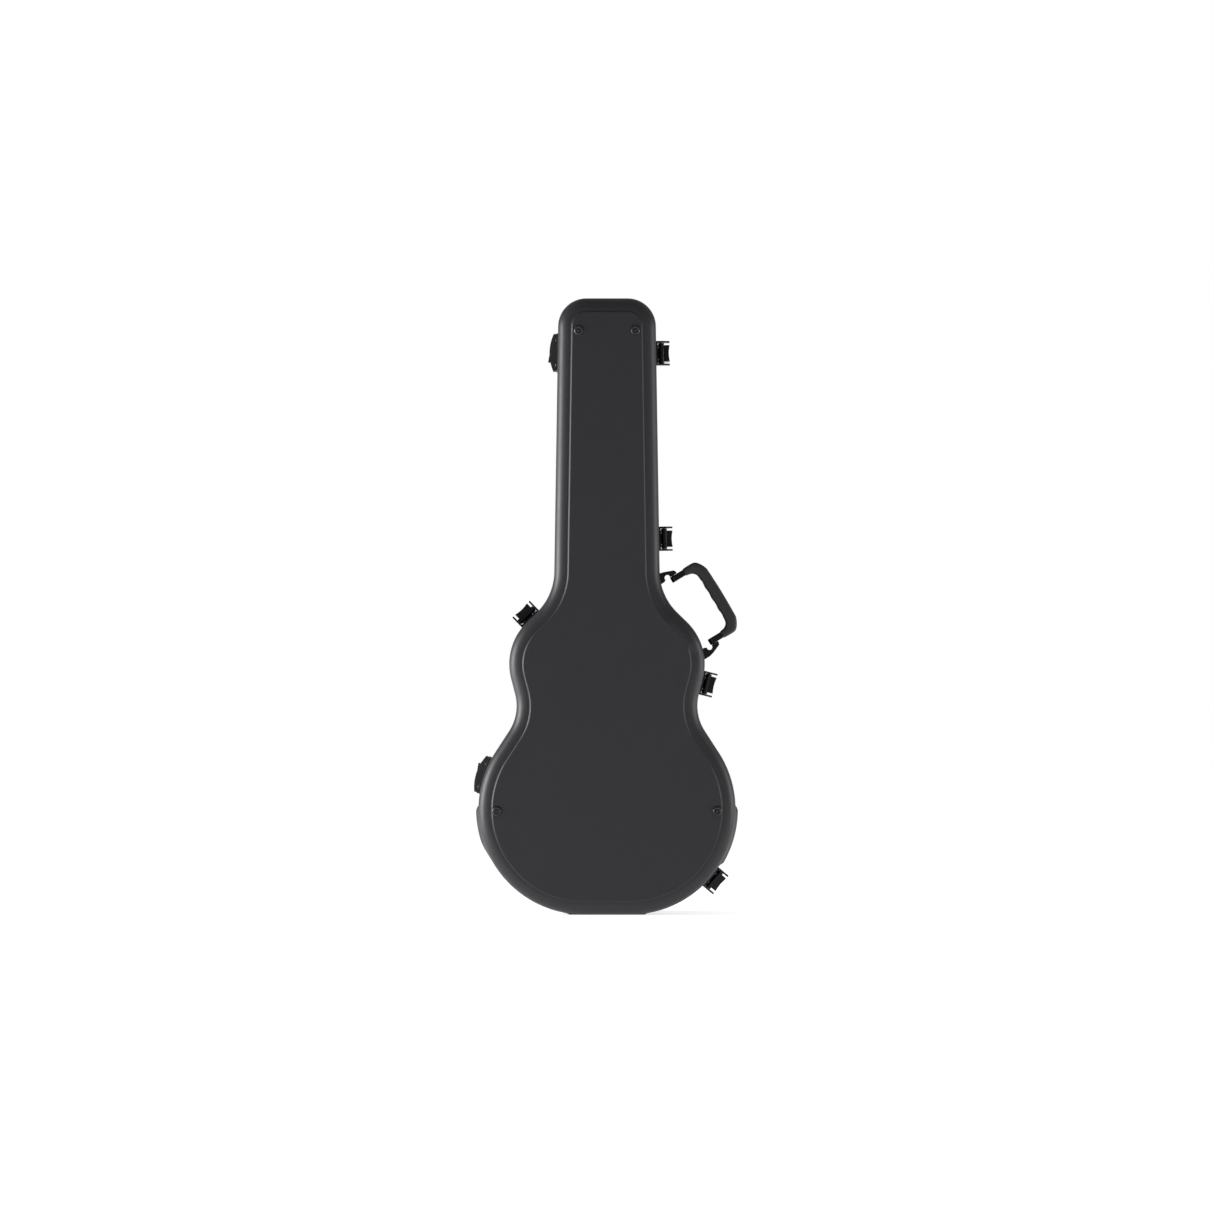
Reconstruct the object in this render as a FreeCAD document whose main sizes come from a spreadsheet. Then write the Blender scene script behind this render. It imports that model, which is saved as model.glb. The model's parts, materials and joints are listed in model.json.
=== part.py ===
import FreeCAD, Part
import math
import os
import re
import Sketcher
from types import SimpleNamespace
from FreeCAD import Placement, Rotation, Vector

# Hard-shell electric-guitar case, standing on its tail. X is to the right seen from the back,
# Y points from the back to the lid, Z is up along the neck. The two shells part at Y = 0 and
# the case stands on Z = 0. Lengths in millimetres, angles in degrees.
SIZES = {
    # outline at the parting plane: tangent circles joined by straight runs, the same both sides
    "case_length": 1090,
    "lower_bout_width": 455,
    "lower_bout_radius": 186,
    "waist_width": 320,
    "waist_height": 369,
    "waist_run": 44.7242,
    "upper_bout_width": 346,
    "upper_bout_height": 443,
    "upper_bout_radius": 104,
    "neck_root_width": 186.5,
    "shoulder_height": 608,
    "shoulder_radius": 103,
    "head_width": 173,
    "head_corner_radius": 50,
    # moulded shells
    "base_depth": 74,
    "lid_depth": 58,
    "wall": 3.5,
    "fitting_depth": 40,
    "fitting_margin": 2,
    "fitting_sink": 6,
    "roll_radius": 22,
    "panel_rise": 3,
    "rib_length": 75,
    "rib_proud": 5,
    "rib_height": 137,
    "rib_start": 4,
    "rib_roundness": 0.62,
    "rib_end_round": 0.6,
    "stand_half_width": 70,
    "stand_start": 14,
    # aluminium rims between the shells
    "rim_band": 6,
    "rim_width": 7,
    "rim_flange": 1.8,
    "rim_flange_depth": 18,
    "tongue_depth": 3,
    "tongue_width": 2,
    "tongue_gap": 0.7,
    # back feet and their screws
    "foot_radius": 9,
    "foot_rise": 6,
    "foot_flat_radius": 5,
    "upper_foot_spread": 100,
    "upper_foot_height": 1032,
    "lower_foot_spread": 389,
    "lower_foot_height": 184,
    "screw_radius": 2,
    "screw_head_radius": 3.6,
    "screw_head_sink": 2.6,
    "screw_head_rise": 1.6,
    # latches
    "latch_width": 43,
    "latch_proud": 24,
    "latch_ear": 3,
    "latch_ear_slope": 12,
    "bracket_rivet_inset": 9,
    "latch_pivot_out": 9,
    "latch_pivot_depth": 24,
    "latch_pin_radius": 2.5,
    "latch_barrel_radius": 5.3,
    "lever_width": 29,
    "lever_inner": 12,
    "lever_heel": 2.6,
    "thumb_radius": 60,
    "thumb_dip": 1.5,
    "window_floor": 16.5,
    "window_back": 12.5,
    "window_front": 6.5,
    "hook_depth": 9.4,
    "hook_thickness": 3.6,
    "hook_reach": 3.4,
    "keeper_lip": 2.4,
    "keeper_lip_out": 8,
    "keeper_length": 21,
    "keeper_rivet_inset": 14,
    "trigger_width": 17,
    "trigger_inner": 18.2,
    "trigger_outer": 22.2,
    "trigger_front": 6,
    "trigger_pivot_out": 19.7,
    "trigger_pivot_back": 9,
    "trigger_pin_radius": 1.2,
    "latch_1_height": 994,
    "latch_2_height": 665,
    "latch_3_height": 410,
    "latch_4_height": 66,
    "latch_5_height": 523,
    # carrying handle
    "handle_height": 539.7,
    "handle_out": 34.4,
    "handle_lean": 31.3,
    "handle_depth": 24,
    "handle_span": 138,
    "handle_rise": 48,
    "grip_thickness": 21,
    "grip_width": 26,
    "handle_corner_radius": 22,
    "handle_leg": 10,
    "handle_pin_radius": 3,
    "handle_eye_radius": 7,
    "handle_lug": 7,
    "bracket_tip": 8,
    "bracket_spread": 17,
    "bracket_notch_radius": 5,
    "bracket_notch_in": 10.5,
    "bracket_notch_along": 3,
    # hinges
    "hinge_upper_height": 996,
    "hinge_lower_height": 245,
    "hinge_out": 10,
    "hinge_length": 66,
    "hinge_proud": 15,
    "hinge_bow": 7,
    "hinge_cheek": 6,
    "hinge_start": 9,
    "hinge_leaf_depth": 36,
    "barrel_radius": 4.5,
    "barrel_length": 36,
    "hinge_pin_radius": 2,
    # fasteners and fits
    "plate_thick": 3,
    "rivet_radius": 2,
    "rivet_head_radius": 3.8,
    "rivet_head_rise": 1.8,
    "running_gap": 0.05,
    "part_gap": 0.4,
    # inside
    "liner_gap": 2.2,
    "base_liner_width": 22,
    "lid_liner_width": 20,
    "liner_floor": 6.2,
    "box_height": 640,
    "box_length": 150,
    "box_top": 22,
    "box_wall": 3,
    "flap_length": 64,
    "flap_pin_radius": 1.5,
    "flap_knuckle_radius": 2.8,
    "tab_width": 18,
    "tab_length": 16,
    "tab_thickness": 2,
    "neck_rest_height": 850,
    "neck_rest_length": 60,
    "neck_rest_top": 8,
    "neck_slot_width": 62,
    "neck_slot_depth": 22,
}

doc = FreeCAD.newDocument("guitar_case")
sheet = doc.addObject("Spreadsheet::Sheet", "Sizes")
for row, (alias, value) in enumerate(SIZES.items(), 1):
    sheet.set(f"A{row}", alias)
    sheet.set(f"B{row}", str(value))
    sheet.setAlias(f"B{row}", alias)
doc.recompute()
size = SimpleNamespace(**{alias: float(sheet.get(alias)) for alias in SIZES})

BASE, LID = -1, 1
nodes = []
shell_holes = {BASE: [], LID: []}


# ---------------------------------------------------------------- outline
def waist_radius():
    """Radius of the hollow waist that leaves the named straight run between it and the lower bout."""
    bout = size.lower_bout_radius
    side = size.waist_width / 2 - (size.lower_bout_width / 2 - bout)
    rise = size.waist_height - bout
    return (side ** 2 + rise ** 2 - bout ** 2 - size.waist_run ** 2) / (2 * (bout - side))


def outline_circles(inset):
    """Centres and signed radii of the outline's circles, counter-clockwise from the tail.

    Each width is that of the outline at the circle's outermost or innermost point. Hollow curves
    have a negative radius, and an inset keeps every centre.
    """
    head_middle = size.case_length - size.head_corner_radius
    right = [
        (width / 2 - radius, height, radius - inset)
        for width, height, radius in (
            (size.lower_bout_width, size.lower_bout_radius, size.lower_bout_radius),
            (size.waist_width, size.waist_height, -waist_radius()),
            (size.upper_bout_width, size.upper_bout_height, size.upper_bout_radius),
            (size.neck_root_width, size.shoulder_height, -size.shoulder_radius),
            (size.head_width, head_middle, size.head_corner_radius),
        )
    ]
    return right + [(-x, z, radius) for x, z, radius in reversed(right)]


def outline_runs(inset=0):
    """(circle, start angle, turn) of each arc of the outline, in radians."""
    circles = outline_circles(inset)
    angles = []
    for (x1, z1, r1), (x2, z2, r2) in zip(circles, circles[1:] + circles[:1]):
        along = math.atan2(z2 - z1, x2 - x1)
        angles.append(along - math.acos((r1 - r2) / math.hypot(x2 - x1, z2 - z1)))
    runs = []
    for number, circle in enumerate(circles):
        turn = (angles[number] - angles[number - 1] + math.pi) % (2 * math.pi) - math.pi
        runs.append((circle, angles[number - 1], turn))
    return runs


def on_circle(circle, angle, depth=0):
    x, z, radius = circle
    return Vector(x + radius * math.cos(angle), depth, z + radius * math.sin(angle))


def outline_wire(inset, depth):
    """The outline, moved inwards by inset, in the plane Y = depth."""
    edges = []
    runs = outline_runs(inset)
    for (circle, start, turn), (follower, next_start, _) in zip(runs, runs[1:] + runs[:1]):
        points = [on_circle(circle, start + turn * share, depth) for share in (0, 0.5, 1)]
        edges.append(Part.Arc(*points).toShape())
        edges.append(Part.makeLine(points[2], on_circle(follower, next_start, depth)))
    return Part.Wire(edges)


def outline_prism(inset, low, high):
    """A solid with the outline's shape from Y = low to Y = high."""
    return Part.Face(outline_wire(inset, low)).extrude(Vector(0, high - low, 0))


def wall_at(height, side):
    """Point of the outline at a height, and the direction out of the wall as an angle from +X."""
    runs = outline_runs()[:5]
    for number, (circle, start, turn) in enumerate(runs):
        x, z, radius = circle
        reach = (height - z) / radius
        low, high = sorted((start, start + turn))
        if abs(reach) <= 1 and low <= math.asin(reach) <= high:
            angle = math.asin(reach)
            break
        if number < 4:
            begin = on_circle(circle, start + turn)
            end = on_circle(runs[number + 1][0], runs[number + 1][1])
            if begin.z <= height <= end.z:
                share = (height - begin.z) / (end.z - begin.z)
                x, angle = begin.x + share * (end.x - begin.x), start + turn
                return wall_frame(x, height, angle, side)
    return wall_frame(x + radius * math.cos(angle), height, angle, side)


def wall_frame(x, height, angle, side):
    degrees = math.degrees(angle)
    return Vector(side * x, 0, height), degrees if side > 0 else 180 - degrees


def facing(point, degrees):
    """Placement whose local X leaves the wall, local Y stays Y and local Z runs along the wall."""
    return Placement(point, Rotation(Vector(0, 1, 0), -degrees))


# ---------------------------------------------------------------- sections swept round the outline
def section_edges(steps, half):
    """Edges of a section given as (inset, depth) points; a triple of points is an arc's middle and end."""
    to_local = lambda point: Vector(-point[0], half * point[1], 0)
    edges = []
    here = to_local(steps[0])
    for step in steps[1:]:
        if isinstance(step[0], tuple):
            middle, end = to_local(step[0]), to_local(step[1])
            edges.append(Part.Arc(here, middle, end).toShape())
        else:
            end = to_local(step)
            edges.append(Part.makeLine(here, end))
        here = end
    return edges


def swept_faces(edges):
    """Faces made by carrying the section's edges once round the outline."""
    faces = []
    runs = outline_runs()
    for (circle, start, turn), (follower, next_start, _) in zip(runs, runs[1:] + runs[:1]):
        begin, end = on_circle(circle, start), on_circle(circle, start + turn)
        centre = Vector(circle[0], 0, circle[1])
        straight = on_circle(follower, next_start) - end
        for edge in edges:
            at_arc = edge.transformed(facing(begin, math.degrees(start)).toMatrix())
            faces.append(at_arc.revolve(centre, Vector(0, -1, 0), math.degrees(turn)))
            at_line = edge.transformed(facing(end, math.degrees(start + turn)).toMatrix())
            faces.append(at_line.extrude(straight))
    return faces


def closed_solid(faces):
    shell = Part.Shell(faces)
    shell.sewShape()
    solid = Part.Solid(shell)
    if solid.Volume < 0:
        solid.reverse()
    return solid


def ring(steps, half):
    """A closed section carried round the outline."""
    return closed_solid(swept_faces(section_edges(steps + steps[:1], half)))


def tray(steps, half):
    """An open section whose ends meet two flat floors: its first point's and its last point's."""
    faces = swept_faces(section_edges(steps, half))
    for inset, depth in (steps[0], steps[-1]):
        faces.append(Part.Face(outline_wire(inset, half * depth)))
    return closed_solid(faces)


def arc_step(centre, radius, middle, end):
    """Middle and end of an arc of a section, given by its angles in degrees."""
    points = []
    for angle in (math.radians(middle), math.radians(end)):
        points.append((centre[0] + radius * math.cos(angle), centre[1] + radius * math.sin(angle)))
    return tuple(points)


def shell_section(depth):
    """Outer face from the raised panel down to the rim, then the inner face back to the panel."""
    centre = (size.roll_radius, depth - size.roll_radius)
    half_rise = size.panel_rise / 2
    panel = depth + size.panel_rise
    rim_start = centre[0] + 1
    inner = depth - size.wall
    return [
        (rim_start + size.panel_rise, panel),
        arc_step((rim_start + size.panel_rise, panel - half_rise), half_rise, 135, 180),
        arc_step((rim_start, panel - half_rise), half_rise, -45, -90),
        (centre[0], depth),
        arc_step(centre, size.roll_radius, 135, 180),
        (0, size.rim_band),
        (size.wall, size.rim_band),
        (size.wall, centre[1]),
        arc_step(centre, size.roll_radius - size.wall, 135, 90),
        (rim_start + size.wall, inner),
        (rim_start + size.wall + size.panel_rise, panel - size.wall),
    ]


def side_rib(side, depth, half):
    """Moulded rub rib on the side of the lower bout."""
    middle = size.rib_height
    point, degrees = wall_at(middle, side)
    reach = size.rib_length / 2
    radius = (reach ** 2 + size.rib_proud ** 2) / (2 * size.rib_proud)
    low, high = sorted((half * (size.rim_band + size.rib_start), half * (depth - size.roll_radius - 2)))
    bulge = radius * size.rib_roundness
    rib = Part.makeCylinder(bulge, high - low, Vector(size.rib_proud - bulge, low, 0), Vector(0, 1, 0))
    ends = [edge for edge in rib.Edges if abs(edge.Length - 2 * math.pi * bulge) < 1]
    rib = rib.makeFillet(size.rib_proud * size.rib_end_round, ends)
    rib.Placement = facing(point, degrees).multiply(rib.Placement)
    return rib.cut(outline_prism(size.wall / 2, low - 1, high + 1))


def stand_pad(depth, half):
    """Flat moulded foot under the tail."""
    low, high = sorted((half * (size.rim_band + size.stand_start), half * (depth - 0.6 * size.roll_radius)))
    corner = Vector(-size.stand_half_width, low, 0)
    return Part.makeBox(2 * size.stand_half_width, high - low, size.wall * 0.9, corner)


def add_shape(name, shape):
    """A sub-part whose shape is set here."""
    item = doc.addObject("Part::Feature", name)
    item.Shape = shape
    item.Label = name
    nodes.append(item)
    return item


def shell_shape(depth, half):
    shape = tray(shell_section(depth), half)
    extras = [side_rib(side, depth, half) for side in (-1, 1)] + [stand_pad(depth, half)]
    return shape.fuse(extras).removeSplitter()


# ---------------------------------------------------------------- parametric helpers
def bound(text):
    """An expression with every size named in it pointing at the sheet."""
    return re.sub(r"[a-z]+(?:_[a-z0-9]+)+|wall", lambda word: "Sizes." + word.group(0), str(text))


def number_of(text):
    """An expression's value at the present sizes."""
    return float(sheet.evalExpression(bound(text)))


def new_body(name, placement=None, is_node=True):
    body = doc.addObject("PartDesign::Body", name)
    body.Label = name
    if placement:
        body.Placement = placement
    if is_node:
        nodes.append(body)
    return body


def new_sketch(body, role, offset=None):
    sketch = body.newObject("Sketcher::SketchObject", body.Name + "_sketch")
    plane = [item for item in body.Origin.OriginFeatures if item.Role == role][0]
    sketch.AttachmentSupport = [(plane, "")]
    sketch.MapMode = "FlatFace"
    if offset:
        sketch.setExpression("AttachmentOffset.Base.z", bound(offset))
    return sketch


def hold_point(sketch, geometry, vertex, corner):
    """Fixes a point of the sketch at two expressions."""
    for kind, text in zip(("DistanceX", "DistanceY"), corner):
        number = sketch.addConstraint(Sketcher.Constraint(kind, -1, 1, geometry, vertex, number_of(text)))
        sketch.setExpression(f"Constraints[{number}]", bound(text))


def add_polygon(sketch, corners):
    spots = [Vector(*(number_of(text) for text in corner), 0) for corner in corners]
    first = sketch.GeometryCount
    for begin, end in zip(spots, spots[1:] + spots[:1]):
        sketch.addGeometry(Part.LineSegment(begin, end), False)
    for number, corner in enumerate(corners):
        before = first + (number - 1) % len(corners)
        sketch.addConstraint(Sketcher.Constraint("Coincident", before, 2, first + number, 1))
        hold_point(sketch, first + number, 1, corner)


def add_circle(sketch, corner, radius):
    spot = [number_of(text) for text in corner]
    value = number_of(radius)
    number = sketch.addGeometry(Part.Circle(Vector(*spot, 0), Vector(0, 0, 1), value), False)
    hold_point(sketch, number, 3, corner)
    rule = sketch.addConstraint(Sketcher.Constraint("Radius", number, value))
    sketch.setExpression(f"Constraints[{rule}]", bound(radius))


def pad(body, sketch, length, middle=True):
    feature = body.newObject("PartDesign::Pad", body.Name + "_pad")
    feature.Profile = sketch
    feature.setExpression("Length", bound(length))
    if middle:
        feature.SideType = "Symmetric"
    return feature


def pocket(body, sketch, length):
    """Cuts the sketch both ways from its plane and checks that it took material away."""
    doc.recompute()
    before = body.Shape.Volume
    feature = body.newObject("PartDesign::Pocket", body.Name + "_pocket")
    feature.Profile = sketch
    feature.setExpression("Length", bound(length))
    feature.SideType = "Symmetric"
    doc.recompute()
    if body.Shape.Volume >= before:
        raise RuntimeError(feature.Name + " cuts nothing")
    return feature


def block(body, role, corners, length, offset=None):
    sketch = new_sketch(body, role, offset)
    add_polygon(sketch, corners)
    return pad(body, sketch, length)


def hole(body, role, corner, radius, length, offset=None):
    sketch = new_sketch(body, role, offset)
    add_circle(sketch, corner, radius)
    return pocket(body, sketch, length)


def lathe(body, corners):
    """A section in the plane of X and Z turned about the local Z axis."""
    sketch = new_sketch(body, "XZ_Plane")
    add_polygon(sketch, corners)
    feature = body.newObject("PartDesign::Revolution", body.Name + "_turned")
    feature.Profile = sketch
    feature.ReferenceAxis = (sketch, ["V_Axis"])
    feature.Angle = 360
    return feature


def group(name, members):
    """Separate solids that share one node."""
    item = doc.addObject("Part::Compound", name)
    item.Links = members
    item.Label = name
    nodes.append(item)
    return item


def cut_by(name, base, tools):
    """A sub-part made by taking other shapes away from a base object."""
    if base in nodes:
        nodes.remove(base)
    current = base
    for number, tool in enumerate(tools):
        item = doc.addObject("Part::Cut", f"{name}_cut_{number}")
        item.Base = current
        item.Tool = tool
        current = item
    base.Label = name + "_stock"
    current.Label = name
    nodes.append(current)
    return current


def rivet(name, placement):
    """Domed blind rivet: its head sits at local X = 0 and its shank points inwards."""
    head = doc.addObject("Part::Cylinder", name + "_head")
    head.setExpression("Radius", bound("rivet_head_radius"))
    head.setExpression("Height", bound("rivet_head_rise"))
    shank = doc.addObject("Part::Cylinder", name + "_shank")
    shank.setExpression("Radius", bound("rivet_radius"))
    shank.setExpression("Height", bound("plate_thick + wall"))
    turn = Rotation(Vector(0, 1, 0), 90)
    head.Placement = placement.multiply(Placement(Vector(), turn))
    shank.Placement = placement.multiply(Placement(Vector(-size.plate_thick - size.wall, 0, 0), turn))
    domed = doc.addObject("Part::Fillet", name + "_dome")
    domed.Base = head
    doc.recompute()
    outwards = placement.Rotation.multVec(Vector(1, 0, 0))
    rim = max(head.Shape.Faces, key=lambda face: face.CenterOfMass.dot(outwards)).Edges[0]
    index = [n for n, edge in enumerate(head.Shape.Edges, 1) if edge.isSame(rim)][0]
    domed.Edges = [(index, size.rivet_head_rise * 0.8, size.rivet_head_rise * 0.8)]
    whole = doc.addObject("Part::Fuse", name)
    whole.Base = domed
    whole.Tool = shank
    return whole


def cylinder(name, radius, height, placement):
    item = doc.addObject("Part::Cylinder", name)
    item.setExpression("Radius", bound(radius))
    item.setExpression("Height", bound(height))
    item.Placement = placement
    return item


def box(name, corner, lengths, placement=None):
    """A box whose corner and lengths are expressions in its own frame."""
    item = doc.addObject("Part::Box", name)
    for prop, text in zip(("Length", "Width", "Height"), lengths):
        item.setExpression(prop, bound(text))
    spot = Vector(*(number_of(text) for text in corner))
    item.Placement = (placement or Placement()).multiply(Placement(spot, Rotation()))
    return item


def fuse(name, members):
    item = doc.addObject("Part::MultiFuse", name)
    item.Shapes = members
    item.Refine = True
    return item


def as_node(item, name):
    item.Label = name
    nodes.append(item)
    return item


ALONG_Y = Rotation(Vector(1, 0, 0), -90)
hidden_block = doc.addObject("Part::Feature", "outline_block")
hidden_block.Shape = outline_prism(0, -size.base_depth, size.lid_depth)


# ---------------------------------------------------------------- latches
LATCHES = (
    (size.latch_1_height, 1),
    (size.latch_2_height, 1),
    (size.latch_3_height, 1),
    (size.latch_4_height, 1),
    (size.latch_5_height, -1),
)
UNDER = "(-fitting_sink)"
BACK = "-fitting_depth + fitting_margin"
FRONT = "-rim_band - fitting_margin"
PIVOT = ("latch_pivot_out", "-latch_pivot_depth")
TRIGGER_PIVOT = ("trigger_pivot_out", "-trigger_pivot_back")
THROUGH_PLATE = "2 * (plate_thick + fitting_sink + 5)"


def latch_bracket(name, place):
    body = new_body(name + "_stock", place, is_node=False)
    plate = [(UNDER, BACK), ("plate_thick", BACK), ("plate_thick", FRONT), (UNDER, FRONT)]
    block(body, "XY_Plane", plate, "latch_width")
    ear = [
        (UNDER, BACK),
        ("latch_proud / 2", BACK),
        ("latch_proud", "-fitting_depth + latch_ear_slope"),
        ("latch_proud", FRONT),
        (UNDER, FRONT),
    ]
    for sign in ("", "-"):
        block(body, "XY_Plane", ear, "latch_ear", f"{sign}(latch_width - latch_ear) / 2")
    hole(body, "XY_Plane", PIVOT, "latch_pin_radius + running_gap", "latch_width + 2")
    for sign in ("", "-"):
        spot = ("-fitting_depth + bracket_rivet_inset", sign + "latch_width / 4")
        hole(body, "YZ_Plane", spot, "rivet_radius + running_gap", THROUGH_PLATE)
    return cut_by(name, body, [hidden_block])


def latch_lever(name, place):
    body = new_body(name, place)
    hook_end = "hook_depth + hook_thickness"
    corners = [
        ("lever_inner", "-latch_pivot_depth - lever_heel"),
        ("latch_proud - 1", "-latch_pivot_depth - lever_heel"),
        ("latch_proud", "-latch_pivot_depth"),
        ("latch_proud", "hook_depth - 2"),
        ("latch_proud - 4", hook_end),
        ("hook_reach", hook_end),
        ("hook_reach", "hook_depth"),
        ("lever_inner", "hook_depth"),
    ]
    block(body, "XY_Plane", corners, "lever_width")
    sketch = new_sketch(body, "XY_Plane")
    add_circle(sketch, PIVOT, "latch_barrel_radius")
    pad(body, sketch, "latch_width - 2 * latch_ear - 2 * part_gap")
    hole(body, "XY_Plane", PIVOT, "latch_pin_radius + running_gap", "latch_width + 2")
    hole(body, "XZ_Plane", ("latch_proud + thumb_radius - thumb_dip", "0"), "thumb_radius", "200")
    window = [
        ("window_floor", "-window_back"),
        ("latch_proud + 1", "-window_back"),
        ("latch_proud + 1", "window_front"),
        ("window_floor", "window_front"),
    ]
    sketch = new_sketch(body, "XY_Plane")
    add_polygon(sketch, window)
    pocket(body, sketch, "trigger_width + 2 * part_gap")
    hole(body, "XY_Plane", TRIGGER_PIVOT, "trigger_pin_radius + running_gap", "trigger_width + 8")
    return body


def latch_trigger(name, place):
    body = new_body(name, place)
    corners = [
        ("trigger_inner", "-trigger_pivot_back"),
        ("trigger_outer", "-trigger_pivot_back"),
        ("trigger_outer", "2"),
        ("trigger_outer - 1.6", "trigger_front"),
        ("trigger_inner + 0.6", "trigger_front"),
        ("trigger_inner", "4"),
    ]
    block(body, "XY_Plane", corners, "trigger_width")
    sketch = new_sketch(body, "XY_Plane")
    add_circle(sketch, TRIGGER_PIVOT, "trigger_pin_radius + 1.4")
    pad(body, sketch, "trigger_width")
    hole(body, "XY_Plane", TRIGGER_PIVOT, "trigger_pin_radius + running_gap", "trigger_width + 8")
    return body


def latch_keeper(name, place):
    body = new_body(name + "_stock", place, is_node=False)
    start = "rim_band + 1"
    end = "rim_band + 1 + keeper_length"
    corners = [
        (UNDER, start),
        ("keeper_lip_out", start),
        ("keeper_lip_out", "rim_band + 1 + keeper_lip - part_gap"),
        ("plate_thick", "rim_band + 1 + keeper_lip - part_gap"),
        ("plate_thick", end),
        (UNDER, end),
    ]
    block(body, "XY_Plane", corners, "lever_width")
    for sign in ("", "-"):
        spot = ("rim_band + keeper_rivet_inset", sign + "lever_width / 3")
        hole(body, "YZ_Plane", spot, "rivet_radius + running_gap", THROUGH_PLATE)
    return cut_by(name, body, [hidden_block])


def across(place, spot, length):
    """Placement of a cylinder that runs along the wall, centred on a latch or trigger pivot."""
    out, depth = spot
    start = Vector(number_of(out), number_of(depth), -number_of(length) / 2)
    return place.multiply(Placement(start, Rotation()))


def rivets_at(name, place, depth, spread):
    """Two rivets through a plate and the shell behind it, whose holes are noted for later."""
    out = []
    for number, sign in enumerate((-1, 1)):
        spot = place.multiply(Placement(Vector(size.plate_thick, depth, sign * spread), Rotation()))
        out.append(rivet(f"{name}_{number}", spot))
        shell_holes[LID if depth > 0 else BASE].append((spot, size.rivet_radius))
    return out


latch_pins, base_rivets, keeper_rivets = [], [], []
for number, (height, side) in enumerate(LATCHES, 1):
    place = facing(*wall_at(height, side))
    latch_bracket(f"latch_{number}_bracket", place)
    latch_lever(f"latch_{number}_lever", place)
    latch_trigger(f"latch_{number}_trigger", place)
    latch_keeper(f"latch_{number}_keeper", place)
    pivot = across(place, PIVOT, "latch_width")
    latch_pins.append(cylinder(f"pivot_{number}", "latch_pin_radius", "latch_width", pivot))
    pin_length = "trigger_width + 6"
    pivot = across(place, TRIGGER_PIVOT, pin_length)
    trigger_pin = cylinder(f"trigger_pin_{number}", "trigger_pin_radius", pin_length, pivot)
    as_node(trigger_pin, f"latch_{number}_trigger_pin")
    depth = -size.fitting_depth + size.bracket_rivet_inset
    base_rivets += rivets_at(f"bracket_rivet_{number}", place, depth, size.latch_width / 4)
    depth = size.rim_band + size.keeper_rivet_inset
    keeper_rivets += rivets_at(f"keeper_rivet_{number}", place, depth, size.lever_width / 3)
group("latch_pins", latch_pins)
group("latch_rivets", base_rivets)
group("keeper_rivets", keeper_rivets)


# ---------------------------------------------------------------- carrying handle
def handle_place():
    point, _ = wall_at(size.handle_height, 1)
    pivot = Vector(point.x + size.handle_out, -size.handle_depth, size.handle_height)
    return facing(pivot, size.handle_lean)


HANDLE = handle_place()
EYE_OUTER = "handle_span / 2 + 1"
LUG_INNER = "handle_span / 2 + 1 + part_gap"
LEG_TOP = size.handle_rise - size.handle_corner_radius - 4


def grip_shape():
    """Grip bent down at both corners, with finger waves on its inner side."""
    half = size.handle_span / 2 - size.handle_leg / 2
    radius = size.handle_corner_radius
    rise = size.handle_rise
    slant = radius * math.sqrt(0.5)
    path = [
        Part.makeLine(Vector(LEG_TOP, 0, -half), Vector(rise - radius, 0, -half)),
        Part.Arc(
            Vector(rise - radius, 0, -half),
            Vector(rise - radius + slant, 0, -half + radius - slant),
            Vector(rise, 0, -half + radius),
        ).toShape(),
        Part.makeLine(Vector(rise, 0, -half + radius), Vector(rise, 0, half - radius)),
        Part.Arc(
            Vector(rise, 0, half - radius),
            Vector(rise - radius + slant, 0, half - radius + slant),
            Vector(rise - radius, 0, half),
        ).toShape(),
        Part.makeLine(Vector(rise - radius, 0, half), Vector(LEG_TOP, 0, half)),
    ]
    thick, wide = size.grip_thickness / 2, size.grip_width / 2
    round_off = thick * 0.8
    section = rounded_rectangle(Vector(LEG_TOP, 0, -half), thick, wide, round_off)
    grip = Part.Wire(path).makePipeShell([section], True, False)
    waves = []
    wave_radius = 24
    for number in (-1.5, -0.5, 0.5, 1.5):
        middle = Vector(rise - thick - wave_radius + 1.3, -wide - 1, number * 2 * half / 6)
        waves.append(Part.makeCylinder(wave_radius, 2 * wide + 2, middle, Vector(0, 1, 0)))
    return grip.cut(waves)


def rounded_rectangle(centre, thick, wide, corner):
    """Closed wire square to local X, with rounded corners."""
    points = []
    for start, (sy, sz) in zip((0, 90, 180, 270), ((1, 1), (-1, 1), (-1, -1), (1, -1))):
        middle = centre + Vector(0, sy * (wide - corner), sz * (thick - corner))
        angles = [math.radians(start + turn) for turn in (0, 45, 90)]
        points.append([middle + corner * Vector(0, math.cos(angle), math.sin(angle)) for angle in angles])
    edges = []
    for now, then in zip(points, points[1:] + points[:1]):
        edges.append(Part.Arc(*now).toShape())
        edges.append(Part.makeLine(now[2], then[0]))
    return Part.Wire(edges)


grip = add_shape("handle_grip", grip_shape())
grip.Placement = HANDLE


def handle_end(name, sign):
    """Hooked end of the handle: a leg and an eye that turns on the pin."""
    body = new_body(name, HANDLE)
    inner, outer = f"{sign}(handle_span / 2 + 1 - handle_leg - 1)", f"{sign}({EYE_OUTER})"
    top = str(LEG_TOP)
    leg = [("0", inner), (top, inner), (top, outer), ("0", outer)]
    block(body, "XZ_Plane", leg, "2 * handle_eye_radius")
    sketch = new_sketch(body, "XY_Plane", f"{sign}(handle_span / 2 + 1 - (handle_leg + 1) / 2)")
    add_circle(sketch, ("0", "0"), "handle_eye_radius")
    pad(body, sketch, "handle_leg + 1")
    hole(body, "XY_Plane", ("0", "0"), "handle_pin_radius + running_gap", "2 * handle_span")
    return body


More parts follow.
